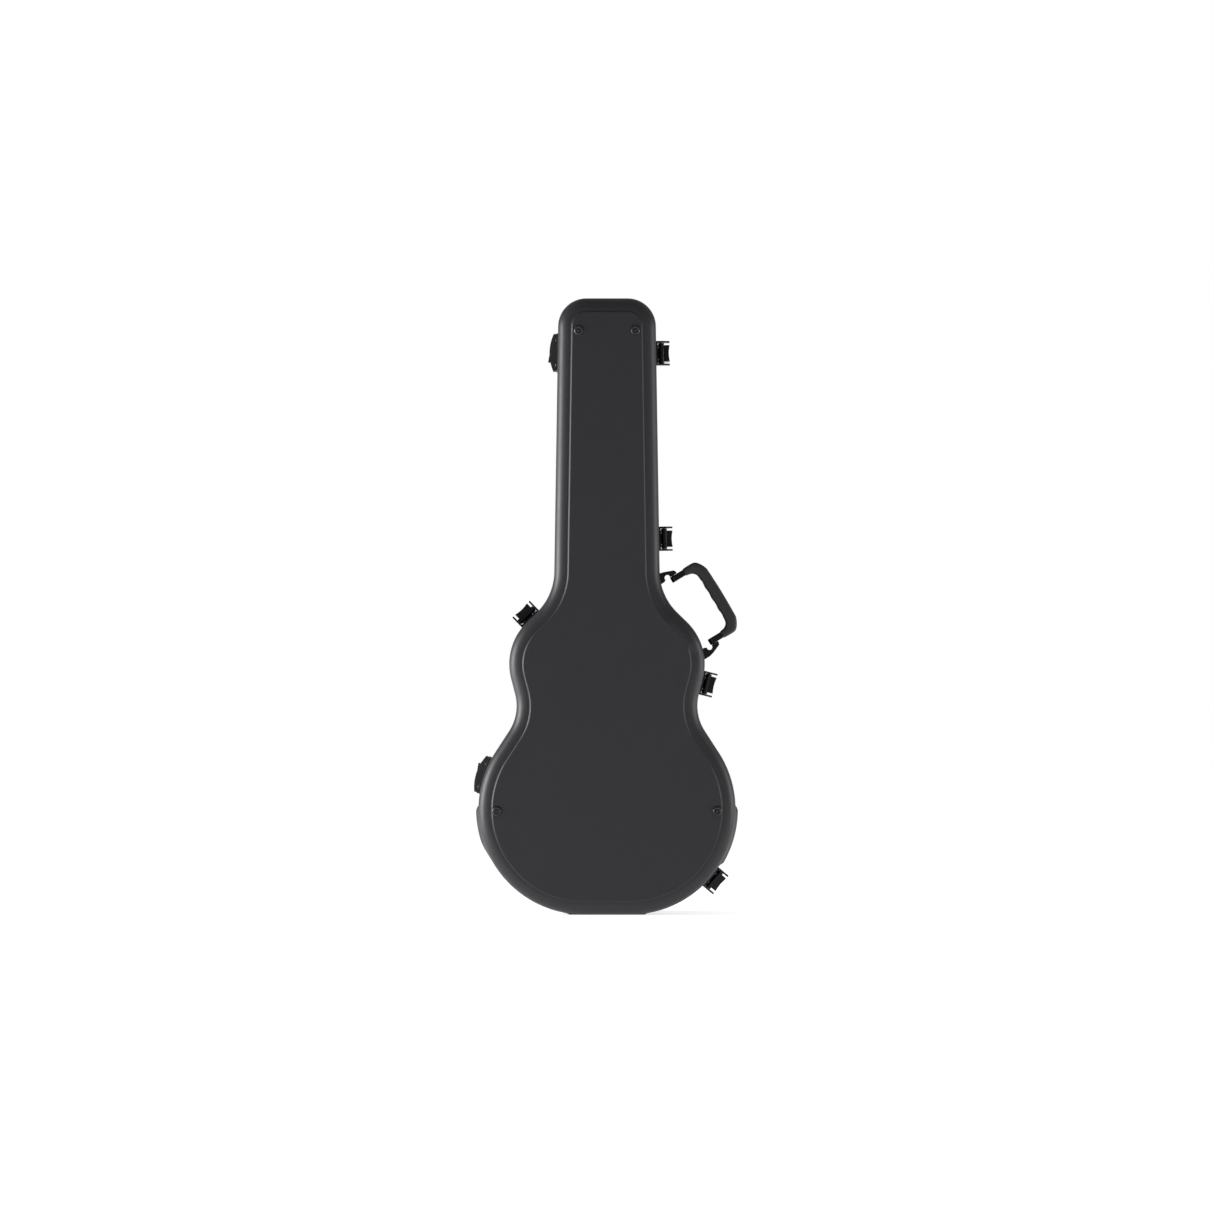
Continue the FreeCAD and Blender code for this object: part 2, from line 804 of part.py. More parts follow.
def handle_bracket(name, sign):
    """Hooked arm from the shell's wall to the end of the pin."""
    stock = new_body(name + "_stock", HANDLE, is_node=False)
    corners = [
        ("bracket_tip", LUG_INNER),
        ("bracket_tip", "handle_span / 2 + 1 + handle_lug / 2"),
        ("bracket_tip - 2", "handle_span / 2 + 1 + handle_lug + part_gap"),
        ("-bracket_notch_in", "handle_span / 2 + bracket_spread - 2"),
        ("-bracket_notch_in - 8", "handle_span / 2 + bracket_spread"),
        ("-50", "handle_span / 2 + bracket_spread"),
        ("-50", "handle_span / 2 - 1"),
        ("-bracket_notch_in - 9", "handle_span / 2 - 1"),
        ("-bracket_notch_in - 4", LUG_INNER),
    ]
    signed = [(x, f"{sign}({z})") for x, z in corners]
    block(stock, "XZ_Plane", signed, "2 * handle_eye_radius + 4")
    hole(stock, "XY_Plane", ("0", "0"), "handle_pin_radius + running_gap", "3 * handle_span")
    notch = ("-bracket_notch_in", f"{sign}(handle_span / 2 + bracket_notch_along)")
    hole(stock, "XZ_Plane", notch, "bracket_notch_radius", "4 * handle_eye_radius")
    return cut_by(name, stock, [hidden_block])


handle_pins = []
for name, sign in (("upper", ""), ("lower", "-")):
    handle_end(f"handle_end_{name}", sign)
    handle_bracket(f"handle_bracket_{name}", sign)
    length = size.handle_leg + size.handle_lug
    start = size.handle_span / 2 + 1 - size.handle_leg
    low = start if not sign else -start - length
    spot = HANDLE.multiply(Placement(Vector(0, 0, low), Rotation()))
    handle_pins.append(cylinder(f"handle_pin_{name}", "handle_pin_radius", "handle_leg + handle_lug", spot))
group("handle_pins", handle_pins)


# ---------------------------------------------------------------- hinges
def hinge_point(height):
    point, degrees = wall_at(height, -1)
    away = math.radians(degrees)
    return point + Vector(math.cos(away), 0, math.sin(away)) * size.hinge_out


HINGE_TOP, HINGE_LOW = hinge_point(size.hinge_upper_height), hinge_point(size.hinge_lower_height)
HINGE_LINE = HINGE_TOP - HINGE_LOW
HINGE_LEAN = math.degrees(math.atan2(HINGE_LINE.x, HINGE_LINE.z))


def leaf(name, wall_place, axis_place, half, spans):
    """A leaf: a plate on the wall, a rounded cheek that stands out of it, and its knuckles."""
    start, finish = ("hinge_start", "hinge_leaf_depth")
    low = lambda near, far: near if half > 0 else f"-({far})"
    plate = box(
        name + "_plate",
        (UNDER, low(start, finish), "-hinge_length / 2"),
        ("plate_thick - " + UNDER, "hinge_leaf_depth - hinge_start", "hinge_length"),
        wall_place,
    )
    slab = box(
        name + "_slab",
        (UNDER, low(start, "hinge_start + hinge_cheek"), "-hinge_length / 2"),
        ("hinge_proud - " + UNDER, "hinge_cheek", "hinge_length"),
        wall_place,
    )
    radius = "((hinge_length / 2)^2 + hinge_bow^2) / (2 * hinge_bow)"
    start_depth = -size.fitting_depth * 2
    middle = Vector(size.hinge_proud - number_of(radius), start_depth, 0)
    spot = wall_place.multiply(Placement(middle, ALONG_Y))
    disc = cylinder(name + "_disc", radius, "4 * fitting_depth", spot)
    cheek = doc.addObject("Part::Common", name + "_cheek")
    cheek.Base = slab
    cheek.Tool = disc
    members = [plate, cheek]
    for number, (low_end, length) in enumerate(spans):
        spot = Vector(0, 0, number_of(low_end))
        knuckle_place = axis_place.multiply(Placement(spot, Rotation()))
        members.append(cylinder(f"{name}_knuckle_{number}", "barrel_radius", length, knuckle_place))
        arm_corner = ("-barrel_radius", low("0", "hinge_start + 1"), low_end)
        arm_lengths = ("2 * barrel_radius", "hinge_start + 1", length)
        members.append(box(f"{name}_arm_{number}", arm_corner, arm_lengths, axis_place))
    whole = fuse(name + "_whole", members)
    bore_place = axis_place.multiply(Placement(Vector(0, 0, -size.barrel_length), Rotation()))
    bore = cylinder(name + "_bore", "hinge_pin_radius + running_gap", "2 * barrel_length", bore_place)
    tools = [hidden_block, bore]
    for number, sign in enumerate((-1, 1)):
        spot = Vector(-10, half * RIVET_DEPTH, sign * size.hinge_length / 3)
        drill = wall_place.multiply(Placement(spot, Rotation(Vector(0, 1, 0), 90)))
        tools.append(cylinder(f"{name}_drill_{number}", "rivet_radius + running_gap", "20", drill))
    return cut_by(name, whole, tools)


RIVET_DEPTH = (size.hinge_start + size.hinge_cheek + size.hinge_leaf_depth) / 2
BASE_SPANS = [
    ("-barrel_length / 2", "barrel_length / 3 - part_gap"),
    ("barrel_length / 6 + part_gap", "barrel_length / 3 - part_gap"),
]
LID_SPANS = [("-barrel_length / 6", "barrel_length / 3")]
hinge_pins, leaf_rivets, lid_leaf_rivets = [], [], []
for name, height, spot in (
    ("upper", size.hinge_upper_height, HINGE_TOP),
    ("lower", size.hinge_lower_height, HINGE_LOW),
):
    wall_place = facing(*wall_at(height, -1))
    axis_place = facing(spot, 180 - HINGE_LEAN)
    leaf(f"hinge_{name}_base_leaf", wall_place, axis_place, BASE, BASE_SPANS)
    leaf(f"hinge_{name}_lid_leaf", wall_place, axis_place, LID, LID_SPANS)
    pin_place = axis_place.multiply(Placement(Vector(0, 0, -size.barrel_length / 2 - 1), Rotation()))
    hinge_pins.append(cylinder(f"hinge_pin_{name}", "hinge_pin_radius", "barrel_length + 2", pin_place))
    leaf_rivets += rivets_at(f"{name}_base_rivet", wall_place, BASE * RIVET_DEPTH, size.hinge_length / 3)
    lid_leaf_rivets += rivets_at(f"{name}_lid_rivet", wall_place, LID * RIVET_DEPTH, size.hinge_length / 3)
group("hinge_pins", hinge_pins)
group("hinge_base_rivets", leaf_rivets)
group("hinge_lid_rivets", lid_leaf_rivets)


# ---------------------------------------------------------------- back feet
PANEL = size.base_depth + size.panel_rise
FEET = {
    f"back_foot_{row}_{hand}": (sign * spread / 2, height)
    for row, spread, height in (
        ("upper", size.upper_foot_spread, size.upper_foot_height),
        ("lower", size.lower_foot_spread, size.lower_foot_height),
    )
    for hand, sign in (("left", -1), ("right", 1))
}
foot_screws = []
for name, (x, z) in FEET.items():
    place = Placement(Vector(x, -PANEL, z), Rotation(Vector(1, 0, 0), 90))
    foot = new_body(name, place)
    bore = "screw_radius + running_gap"
    seat = "foot_rise - screw_head_sink"
    well = "screw_head_radius + 0.4"
    lathe(foot, [
        (bore, "0"),
        ("foot_radius", "0"),
        ("foot_radius", "foot_rise * 0.3"),
        ("foot_radius * 0.88", "foot_rise * 0.68"),
        ("foot_radius * 0.72", "foot_rise * 0.88"),
        ("foot_flat_radius + 0.3", "foot_rise"),
        (well, "foot_rise"),
        (well, seat),
        (bore, seat),
    ])
    head = place.multiply(Placement(Vector(0, 0, size.foot_rise - size.screw_head_sink), Rotation()))
    screw = fuse(f"{name}_screw", [
        cylinder(f"{name}_screw_head", "screw_head_radius", "screw_head_rise", head),
        cylinder(
            f"{name}_screw_shank",
            "screw_radius",
            "foot_rise - screw_head_sink + wall",
            place.multiply(Placement(Vector(0, 0, -size.wall), Rotation())),
        ),
    ])
    foot_screws.append(screw)
    drill = place.multiply(Placement(Vector(), Rotation(Vector(0, 1, 0), -90)))
    shell_holes[BASE].append((drill, size.screw_radius))
group("foot_screws", foot_screws)


# ---------------------------------------------------------------- shells and rims
def drilled(shape, half):
    """The shell with a hole for each rivet and screw."""
    drills = []
    for place, radius in shell_holes[half]:
        drill = Part.makeCylinder(radius + size.running_gap, 24, Vector(-14, 0, 0), Vector(1, 0, 0))
        drill.Placement = place.multiply(drill.Placement)
        drills.append(drill)
    return shape.cut(drills)


add_shape("base_shell", drilled(shell_shape(size.base_depth, BASE), BASE))
add_shape("lid_shell", drilled(shell_shape(size.lid_depth, LID), LID))


def rim_section(mating):
    """Aluminium rim: a band that shows at the parting line, its mating edge and an inner flange."""
    return [(0, 0)] + mating + [
        (size.rim_width, 0),
        (size.rim_width, size.rim_band),
        (size.wall + size.rim_flange, size.rim_band),
        (size.wall + size.rim_flange, size.rim_flange_depth),
        (size.wall, size.rim_flange_depth),
        (size.wall, size.rim_band),
        (0, size.rim_band),
    ]


rim_middle = size.rim_width / 2
reach = size.tongue_width / 2 + size.tongue_gap
groove_floor = size.tongue_depth + size.part_gap
groove = [
    (rim_middle - reach, 0),
    (rim_middle - reach, groove_floor),
    (rim_middle + reach, groove_floor),
    (rim_middle + reach, 0),
]
tongue = [
    (rim_middle - size.tongue_width / 2, 0),
    (rim_middle - size.tongue_width / 2 + 0.3, -size.tongue_depth),
    (rim_middle + size.tongue_width / 2 - 0.3, -size.tongue_depth),
    (rim_middle + size.tongue_width / 2, 0),
]
add_shape("base_rim", ring(rim_section(groove), BASE))
add_shape("lid_rim", ring(rim_section(tongue), LID))


# ---------------------------------------------------------------- inside
PAD_OUT = size.wall + size.rim_flange
RECESS_EDGE = size.roll_radius + 1 + size.wall + size.panel_rise


def lining(name, depth, half, width):
    """Foam lining of one shell: a pad in the recess behind the panel and a pad all round the wall."""
    valley = depth - size.wall
    floor = valley - size.liner_floor
    top = size.rim_band + 1
    wall_pad = [
        (size.roll_radius + 1, valley),
        (PAD_OUT, depth - size.roll_radius + 2),
        (PAD_OUT, top),
        (PAD_OUT + width, top),
        (PAD_OUT + width, floor),
        (RECESS_EDGE, floor),
        (RECESS_EDGE, valley),
    ]
    add_shape(name + "_wall_pad", ring(wall_pad, half))
    low, high = sorted((half * floor, half * (valley + size.panel_rise)))
    add_shape(name + "_floor_pad", outline_prism(RECESS_EDGE, low, high))


lining("base", size.base_depth, BASE, size.base_liner_width)
lining("lid", size.lid_depth, LID, size.lid_liner_width)
FLOOR = "base_depth - wall - liner_floor"
HALF_BOX = "(head_width / 2 - wall - rim_flange - base_liner_width - liner_gap)"


def accessory_box():
    """Compartment under the neck with a fixed deck, an opening and two hinge lugs."""
    low = f"-({FLOOR})"
    outer = box(
        "compartment_outer",
        (f"-{HALF_BOX}", low, "box_height"),
        (f"2 * {HALF_BOX}", f"{FLOOR} - box_top", "box_length"),
    )
    inner = box(
        "compartment_inner",
        (f"-{HALF_BOX} + box_wall", low + " + box_wall", "box_height + box_wall"),
        (f"2 * ({HALF_BOX} - box_wall)", f"{FLOOR} - box_top - 2 * box_wall", "box_length - 2 * box_wall"),
    )
    window = box(
        "compartment_window",
        (f"-{HALF_BOX} + 2 * box_wall", "-box_top - 2 * box_wall", "box_height + box_length - flap_length"),
        (f"2 * ({HALF_BOX} - 2 * box_wall)", "4 * box_wall", "flap_length - 3 * box_wall"),
    )
    hollow = cut_by("accessory_hollow", outer, [inner, window])
    nodes.remove(hollow)
    lugs = [
        box(
            f"flap_lug_{number}",
            (spot, "-box_top - 1", "box_height + box_length - 4 * box_wall"),
            ("box_wall", "8.5", "2.5 * box_wall"),
        )
        for number, spot in enumerate((f"-{HALF_BOX}", f"{HALF_BOX} - box_wall"))
    ]
    whole = fuse("accessory_body", [hollow] + lugs)
    lug_bore = cylinder("lug_bore", "flap_pin_radius + running_gap", f"2 * {HALF_BOX}", FLAP_AXIS)
    return cut_by("accessory_box", whole, [lug_bore])


flap_axis_z = size.box_height + size.box_length - 3 * size.box_wall + 1
flap_axis_y = -size.box_top + 3.6
flap_start = Vector(-number_of(HALF_BOX), flap_axis_y, flap_axis_z)
FLAP_AXIS = Placement(flap_start, Rotation(Vector(0, 1, 0), 90))
accessory_box()
as_node(cylinder("flap_rod", "flap_pin_radius", f"2 * {HALF_BOX}", FLAP_AXIS), "accessory_pin")
knuckle_place = FLAP_AXIS.multiply(Placement(Vector(0, 0, size.box_wall + size.part_gap), Rotation()))
flap_width = f"2 * ({HALF_BOX} - box_wall - part_gap)"
flap_knuckle = cylinder("flap_knuckle", "flap_knuckle_radius", flap_width, knuckle_place)
flap_end = f"{flap_axis_z} - flap_length"
flap_corner = (f"-{HALF_BOX} + box_wall + part_gap", "-box_top + part_gap", flap_end)
flap_plate = box("flap_plate", flap_corner, (flap_width, "box_wall", "flap_length"))
flap_whole = fuse("flap_whole", [flap_knuckle, flap_plate])
flap_bore = cylinder("flap_bore", "flap_pin_radius + running_gap", f"2 * {HALF_BOX}", FLAP_AXIS)
cut_by("accessory_flap", flap_whole, [flap_bore])
tab_corner = ("-tab_width / 2", "-box_top + box_wall + part_gap", flap_end + " + 4")
tab = box("tab_strip", tab_corner, ("tab_width", "tab_thickness", "tab_length"))
as_node(tab, "pull_tab")

rest = new_body("neck_rest")
slot_floor = "-neck_rest_top - neck_slot_depth"
block(rest, "XY_Plane", [
    (f"-{HALF_BOX}", f"-({FLOOR})"),
    (HALF_BOX, f"-({FLOOR})"),
    (HALF_BOX, "-neck_rest_top"),
    ("neck_slot_width / 2", "-neck_rest_top"),
    ("neck_slot_width / 2 - 6", slot_floor),
    ("-neck_slot_width / 2 + 6", slot_floor),
    ("-neck_slot_width / 2", "-neck_rest_top"),
    (f"-{HALF_BOX}", "-neck_rest_top"),
], "neck_rest_length", "neck_rest_height + neck_rest_length / 2")


# ---------------------------------------------------------------- checks and files
doc.recompute()
for item in doc.Objects:
    if {"Invalid", "Error"} & set(item.State):
        raise RuntimeError(f"{item.Name} failed: {item.State}")
for item in nodes:
    if item.Shape.isNull() or not item.Shape.isValid():
        raise RuntimeError(item.Label + " has no valid shape")
os.makedirs("parts", exist_ok=True)
for item in nodes:
    item.Shape.exportStep(f"parts/{item.Label}.step")
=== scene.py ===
"""Hard-shell electric-guitar case: looks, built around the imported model."""
import json
import math

import bmesh
import bpy
from mathutils import Matrix, Vector

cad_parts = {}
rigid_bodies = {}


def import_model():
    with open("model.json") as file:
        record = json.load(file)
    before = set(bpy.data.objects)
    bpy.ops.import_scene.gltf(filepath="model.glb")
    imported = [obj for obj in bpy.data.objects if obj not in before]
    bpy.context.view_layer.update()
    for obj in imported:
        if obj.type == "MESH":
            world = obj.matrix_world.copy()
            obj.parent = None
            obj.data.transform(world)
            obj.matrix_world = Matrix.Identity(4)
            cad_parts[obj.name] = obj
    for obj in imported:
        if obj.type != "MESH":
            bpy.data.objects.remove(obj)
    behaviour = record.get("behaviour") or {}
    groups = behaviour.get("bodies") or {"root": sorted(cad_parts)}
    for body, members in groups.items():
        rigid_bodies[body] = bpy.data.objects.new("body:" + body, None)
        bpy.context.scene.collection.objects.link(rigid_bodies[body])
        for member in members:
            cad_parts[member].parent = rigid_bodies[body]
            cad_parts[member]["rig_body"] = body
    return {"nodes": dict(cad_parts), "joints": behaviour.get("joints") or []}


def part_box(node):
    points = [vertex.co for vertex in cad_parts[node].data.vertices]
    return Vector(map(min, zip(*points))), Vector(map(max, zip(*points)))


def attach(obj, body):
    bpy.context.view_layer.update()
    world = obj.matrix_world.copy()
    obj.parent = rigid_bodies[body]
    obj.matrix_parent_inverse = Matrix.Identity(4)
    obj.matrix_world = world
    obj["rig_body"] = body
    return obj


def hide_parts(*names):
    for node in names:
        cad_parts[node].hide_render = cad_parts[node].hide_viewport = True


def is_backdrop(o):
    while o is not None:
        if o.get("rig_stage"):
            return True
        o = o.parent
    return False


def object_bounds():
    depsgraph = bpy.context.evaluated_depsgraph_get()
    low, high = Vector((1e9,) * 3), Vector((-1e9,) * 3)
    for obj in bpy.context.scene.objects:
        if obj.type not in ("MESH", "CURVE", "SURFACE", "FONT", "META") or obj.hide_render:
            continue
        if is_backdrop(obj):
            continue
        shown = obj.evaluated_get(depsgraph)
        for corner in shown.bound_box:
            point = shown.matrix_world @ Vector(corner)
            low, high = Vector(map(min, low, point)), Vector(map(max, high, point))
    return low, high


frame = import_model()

bl_info = {
    "name": "Guitar Case Builder",
    "version": (1, 0, 0),
    "blender": (4, 5, 0),
    "location": "View3D > Sidebar > Guitar Case",
    "description": "Builds the visible pieces and finishes of a moulded guitar case",
    "category": "Object",
}

CAD_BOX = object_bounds()
BACK, FRONT = -1, 1
MERGE_DISTANCE = 1e-6
CASE_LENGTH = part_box("base_shell")[1][2]
BASE_DEPTH = -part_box("base_shell")[0][1]
LID_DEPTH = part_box("lid_shell")[1][1]
JOINTS = {joint["name"]: joint for joint in frame["joints"]}


def number_setting(name, description, default, **more):
    return bpy.props.FloatProperty(name=name, description=description, default=default, **more)


def length_setting(name, description, default):
    return number_setting(name, description, default, unit="LENGTH")


def colour_setting(name, description, default):
    return bpy.props.FloatVectorProperty(
        name=name, description=description, default=default, size=3, subtype="COLOR", min=0, max=1
    )


class CaseOutlineSettings(bpy.types.PropertyGroup):
    """Driving sizes of the outline at the parting plane, right half."""
    lower_bout_width: length_setting("Lower bout width", "Widest width of the case", 0.455)
    lower_bout_radius: length_setting("Lower bout radius", "Radius of the lower bout's side", 0.186)
    waist_width: length_setting("Waist width", "Narrowest width between the bouts", 0.320)
    waist_height: length_setting("Waist height", "Height of the waist above the tail", 0.369)
    waist_radius: length_setting("Waist radius", "Radius of the hollow waist", 0.081)
    upper_bout_width: length_setting("Upper bout width", "Widest width of the upper bout", 0.346)
    upper_bout_height: length_setting("Upper bout height", "Height of the upper bout", 0.443)
    upper_bout_radius: length_setting("Upper bout radius", "Radius of the upper bout", 0.104)
    neck_root_width: length_setting("Neck root width", "Width where the shoulders meet the neck", 0.1865)
    shoulder_height: length_setting("Shoulder height", "Height of the neck's root", 0.608)
    shoulder_radius: length_setting("Shoulder radius", "Radius of the hollow shoulders", 0.103)
    head_width: length_setting("Head width", "Width at the head end", 0.173)
    head_corner_radius: length_setting("Head corner radius", "Radius of the head end's corners", 0.050)


class CaseShellSettings(bpy.types.PropertyGroup):
    """Sizes and colours of the moulded shells."""
    wall: length_setting("Wall", "Thickness of the moulded wall", 0.0035)
    roll_radius: length_setting("Edge roll", "Radius of the round edge between wall and back", 0.022)
    panel_rise: length_setting("Panel rise", "Height of the raised panel above its valley", 0.003)
    fade_height: length_setting("Step fade", "Height at which the step runs out on the handle side", 0.509)
    rim_band: length_setting("Rim band", "Depth of the aluminium band beside the parting line", 0.006)
    rib_proud: length_setting("Rib", "How far the side ribs stand out", 0.0045)
    rib_top: length_setting("Rib top", "Height at which the side ribs start", 0.190)
    rib_foot: length_setting("Rib foot", "Height at which the side ribs end", 0.086)
    spacing: length_setting("Mesh spacing", "Distance between mesh points along the outline", 0.005)
    colour: colour_setting("Shell colour", "Colour of the plastic", (0.0150, 0.0146, 0.0178))
    hardware_colour: colour_setting("Hardware", "Colour of the glossy parts", (0.0022, 0.0022, 0.0024))
    grip_colour: colour_setting("Grip colour", "Colour of the over-moulded grip", (0.020, 0.020, 0.021))


class CaseStageSettings(bpy.types.PropertyGroup):
    """Camera and light."""
    camera_distance: length_setting("Camera distance", "Distance from the parting plane", 8.4)
    view_width: length_setting("View width", "Width of the view at the parting plane", 2.161)
    aim_height: length_setting("Aim height", "Height that the camera looks at", 0.544)
    room_light: number_setting("Room light", "Strength of the even light", 0.36, min=0)
    key_power: number_setting("Key light", "Power of the left light", 94, min=0)
    fill_power: number_setting("Fill light", "Power of the right light", 22, min=0)


def outline_settings():
    return bpy.context.scene.case_outline


def shell_settings():
    return bpy.context.scene.case_shell


# ---------------------------------------------------------------- outline
def outline_runs():
    """(x, z, signed radius, start angle, turn) of each arc, counter-clockwise from the tail."""
    size = outline_settings()
    lower, upper, corner = size.lower_bout_radius, size.upper_bout_radius, size.head_corner_radius
    waist, shoulder = size.waist_radius, size.shoulder_radius
    right = [
        (size.lower_bout_width / 2 - lower, lower, lower),
        (size.waist_width / 2 + waist, size.waist_height, -waist),
        (size.upper_bout_width / 2 - upper, size.upper_bout_height, upper),
        (size.neck_root_width / 2 + shoulder, size.shoulder_height, -shoulder),
        (size.head_width / 2 - corner, CASE_LENGTH - corner, corner),
    ]
    circles = right + [(-x, z, radius) for x, z, radius in reversed(right)]
    angles = []
    for (x1, z1, r1), (x2, z2, r2) in zip(circles, circles[1:] + circles[:1]):
        along = math.atan2(z2 - z1, x2 - x1)
        angles.append(along - math.acos((r1 - r2) / math.hypot(x2 - x1, z2 - z1)))
    runs = []
    for number, (x, z, radius) in enumerate(circles):
        turn = (angles[number] - angles[number - 1] + math.pi) % (2 * math.pi) - math.pi
        runs.append((x, z, radius, angles[number - 1], turn))
    return runs


def outline_stations(spacing):
    """(point, outward direction) evenly spaced round the outline, in the plane of X and Z."""
    stations = []
    runs = outline_runs()
    for run, follower in zip(runs, runs[1:] + runs[:1]):
        x, z, radius, start, turn = run
        steps = max(6, math.ceil(abs(radius * turn) / spacing))
        for step in range(steps):
            angle = start + turn * step / steps
            away = Vector((math.cos(angle), 0, math.sin(angle)))
            stations.append((Vector((x, 0, z)) + radius * away, away))
        angle = start + turn
        away = Vector((math.cos(angle), 0, math.sin(angle)))
        begin = Vector((x, 0, z)) + radius * away
        end = Vector((follower[0], 0, follower[1])) + follower[2] * away
        steps = max(2, math.ceil((end - begin).length / spacing))
        for step in range(steps):
            stations.append((begin.lerp(end, step / steps), away))
    return stations


def nodes_named(start):
    return sorted(name for name in frame["nodes"] if name.startswith(start))


def nearest_station(point, stations):
    flat = Vector((point[0], 0, point[2]))
    return min(stations, key=lambda station: (station[0] - flat).length_squared)


# ---------------------------------------------------------------- mesh helpers
def smoothstep(value, low, high):
    share = min(1, max(0, (value - low) / (high - low)))
    return share * share * (3 - 2 * share)


def new_piece(name, points, faces, smooth=True):
    """An object at the origin with this mesh, its normals recalculated outwards."""
    mesh = bpy.data.meshes.new(name)
    mesh.from_pydata([tuple(point) for point in points], [], faces)
    work = bmesh.new()
    work.from_mesh(mesh)
    bmesh.ops.recalc_face_normals(work, faces=work.faces)
    work.to_mesh(mesh)
    work.free()
    mesh.polygons.foreach_set("use_smooth", [smooth] * len(mesh.polygons))
    piece = bpy.data.objects.new(name, mesh)
    bpy.context.scene.collection.objects.link(piece)
    return piece


def band_faces(count, width, joined=False):
    """Faces between each closed loop of points and the next, and from the last to the first if joined."""
    faces = []
    for row in range(count if joined else count - 1):
        low, high = row * width, (row + 1) % count * width
        for column in range(width):
            beside = (column + 1) % width
            faces.append((low + column, low + beside, high + beside, high + column))
    return faces


def loft(name, loops, joined=False):
    """A closed surface through equal loops of points: joined end to end, or capped at both ends."""
    count, width = len(loops), len(loops[0])
    faces = band_faces(count, width, joined)
    if not joined:
        faces += [tuple(range(width)), tuple(range((count - 1) * width, count * width))]
    return new_piece(name, [point for loop in loops for point in loop], faces)


def ring_of_sections(name, loops):
    """Open sections carried once round the outline, closed by one large face along each edge."""
    count, width = len(loops), len(loops[0])
    faces = []
    for row in range(count):
        low, high = row * width, (row + 1) % count * width
        faces += [(low + k, low + k + 1, high + k + 1, high + k) for k in range(width - 1)]
    faces += [tuple(range(edge, count * width, width)) for edge in (0, width - 1)]
    return new_piece(name, [spot for loop in loops for spot in loop], faces)


def lathe_loops(profile, segments, place):
    """Loops of a turned shape: profile is (radius, height) and place maps its axis +Z into the frame."""
    loops = []
    for radius, height in profile:
        loop = []
        for segment in range(segments):
            angle = 2 * math.pi * segment / segments
            loop.append(place @ Vector((radius * math.cos(angle), radius * math.sin(angle), height)))
        loops.append(loop)
    return loops


def even_shading(piece, weight):
    """Normals that follow the large faces, so that narrow rounded edges don't shade them."""
    piece.modifiers.new("even shading", "WEIGHTED_NORMAL").weight = weight


def apply_modifiers(piece):
    """Replaces the mesh by its evaluated result and drops the modifiers."""
    graph = bpy.context.evaluated_depsgraph_get()
    mesh = bpy.data.meshes.new_from_object(piece.evaluated_get(graph))
    piece.modifiers.clear()
    piece.data = mesh


def paint(piece, finish):
    piece.data.materials.clear()
    piece.data.materials.append(finish)


def settle(piece, body, finish, replaced=()):
    """Last step of every new piece: its finish, its body and the nodes it stands for."""
    if finish:
        paint(piece, finish)
    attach(piece, body)
    if replaced:
        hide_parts(*replaced)
    return piece


def refined(node, finish, width=0.0006, segments=3, sharp=35):
    """A welded copy of a CAD node with rounded edges, standing for it."""
    source = frame["nodes"][node]
    body = source["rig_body"]
    mesh = source.data.copy()
    mesh.name = node + "_finished"
    work = bmesh.new()
    work.from_mesh(mesh)
    bmesh.ops.remove_doubles(work, verts=work.verts, dist=MERGE_DISTANCE)
    bmesh.ops.dissolve_limit(
        work, angle_limit=math.radians(1.5), use_dissolve_boundaries=False,
        verts=work.verts, edges=work.edges
    )
    work.to_mesh(mesh)
    work.free()
    piece = bpy.data.objects.new(node + "_finished", mesh)
    bpy.context.scene.collection.objects.link(piece)
    mesh.polygons.foreach_set("use_smooth", [True] * len(mesh.polygons))
    bevel = piece.modifiers.new("rounded edges", "BEVEL")
    bevel.width = width
    bevel.segments = segments
    bevel.limit_method = "ANGLE"
    bevel.angle_limit = math.radians(sharp)
    bevel.miter_outer = "MITER_ARC"
    even_shading(piece, 80)
    apply_modifiers(piece)
    piece.data.name = node + "_finished"
    return settle(piece, body, finish, (node,))


# ---------------------------------------------------------------- shader helpers
class Value:
    """A shader socket that can be used in Python expressions."""

    def __init__(self, shader, socket):
        self.shader, self.socket = shader, socket

    def maths(self, operation, *others):
        return self.shader.node("ShaderNodeMath", {"operation": operation}, [self, *others])

    def __add__(self, other):
        return self.maths("ADD", other)

    def __sub__(self, other):
        return self.maths("SUBTRACT", other)

    def __rsub__(self, other):
        return self.shader.node("ShaderNodeMath", {"operation": "SUBTRACT"}, [other, self])

    def __mul__(self, other):
        return self.maths("MULTIPLY", other)

    __radd__, __rmul__ = __add__, __mul__


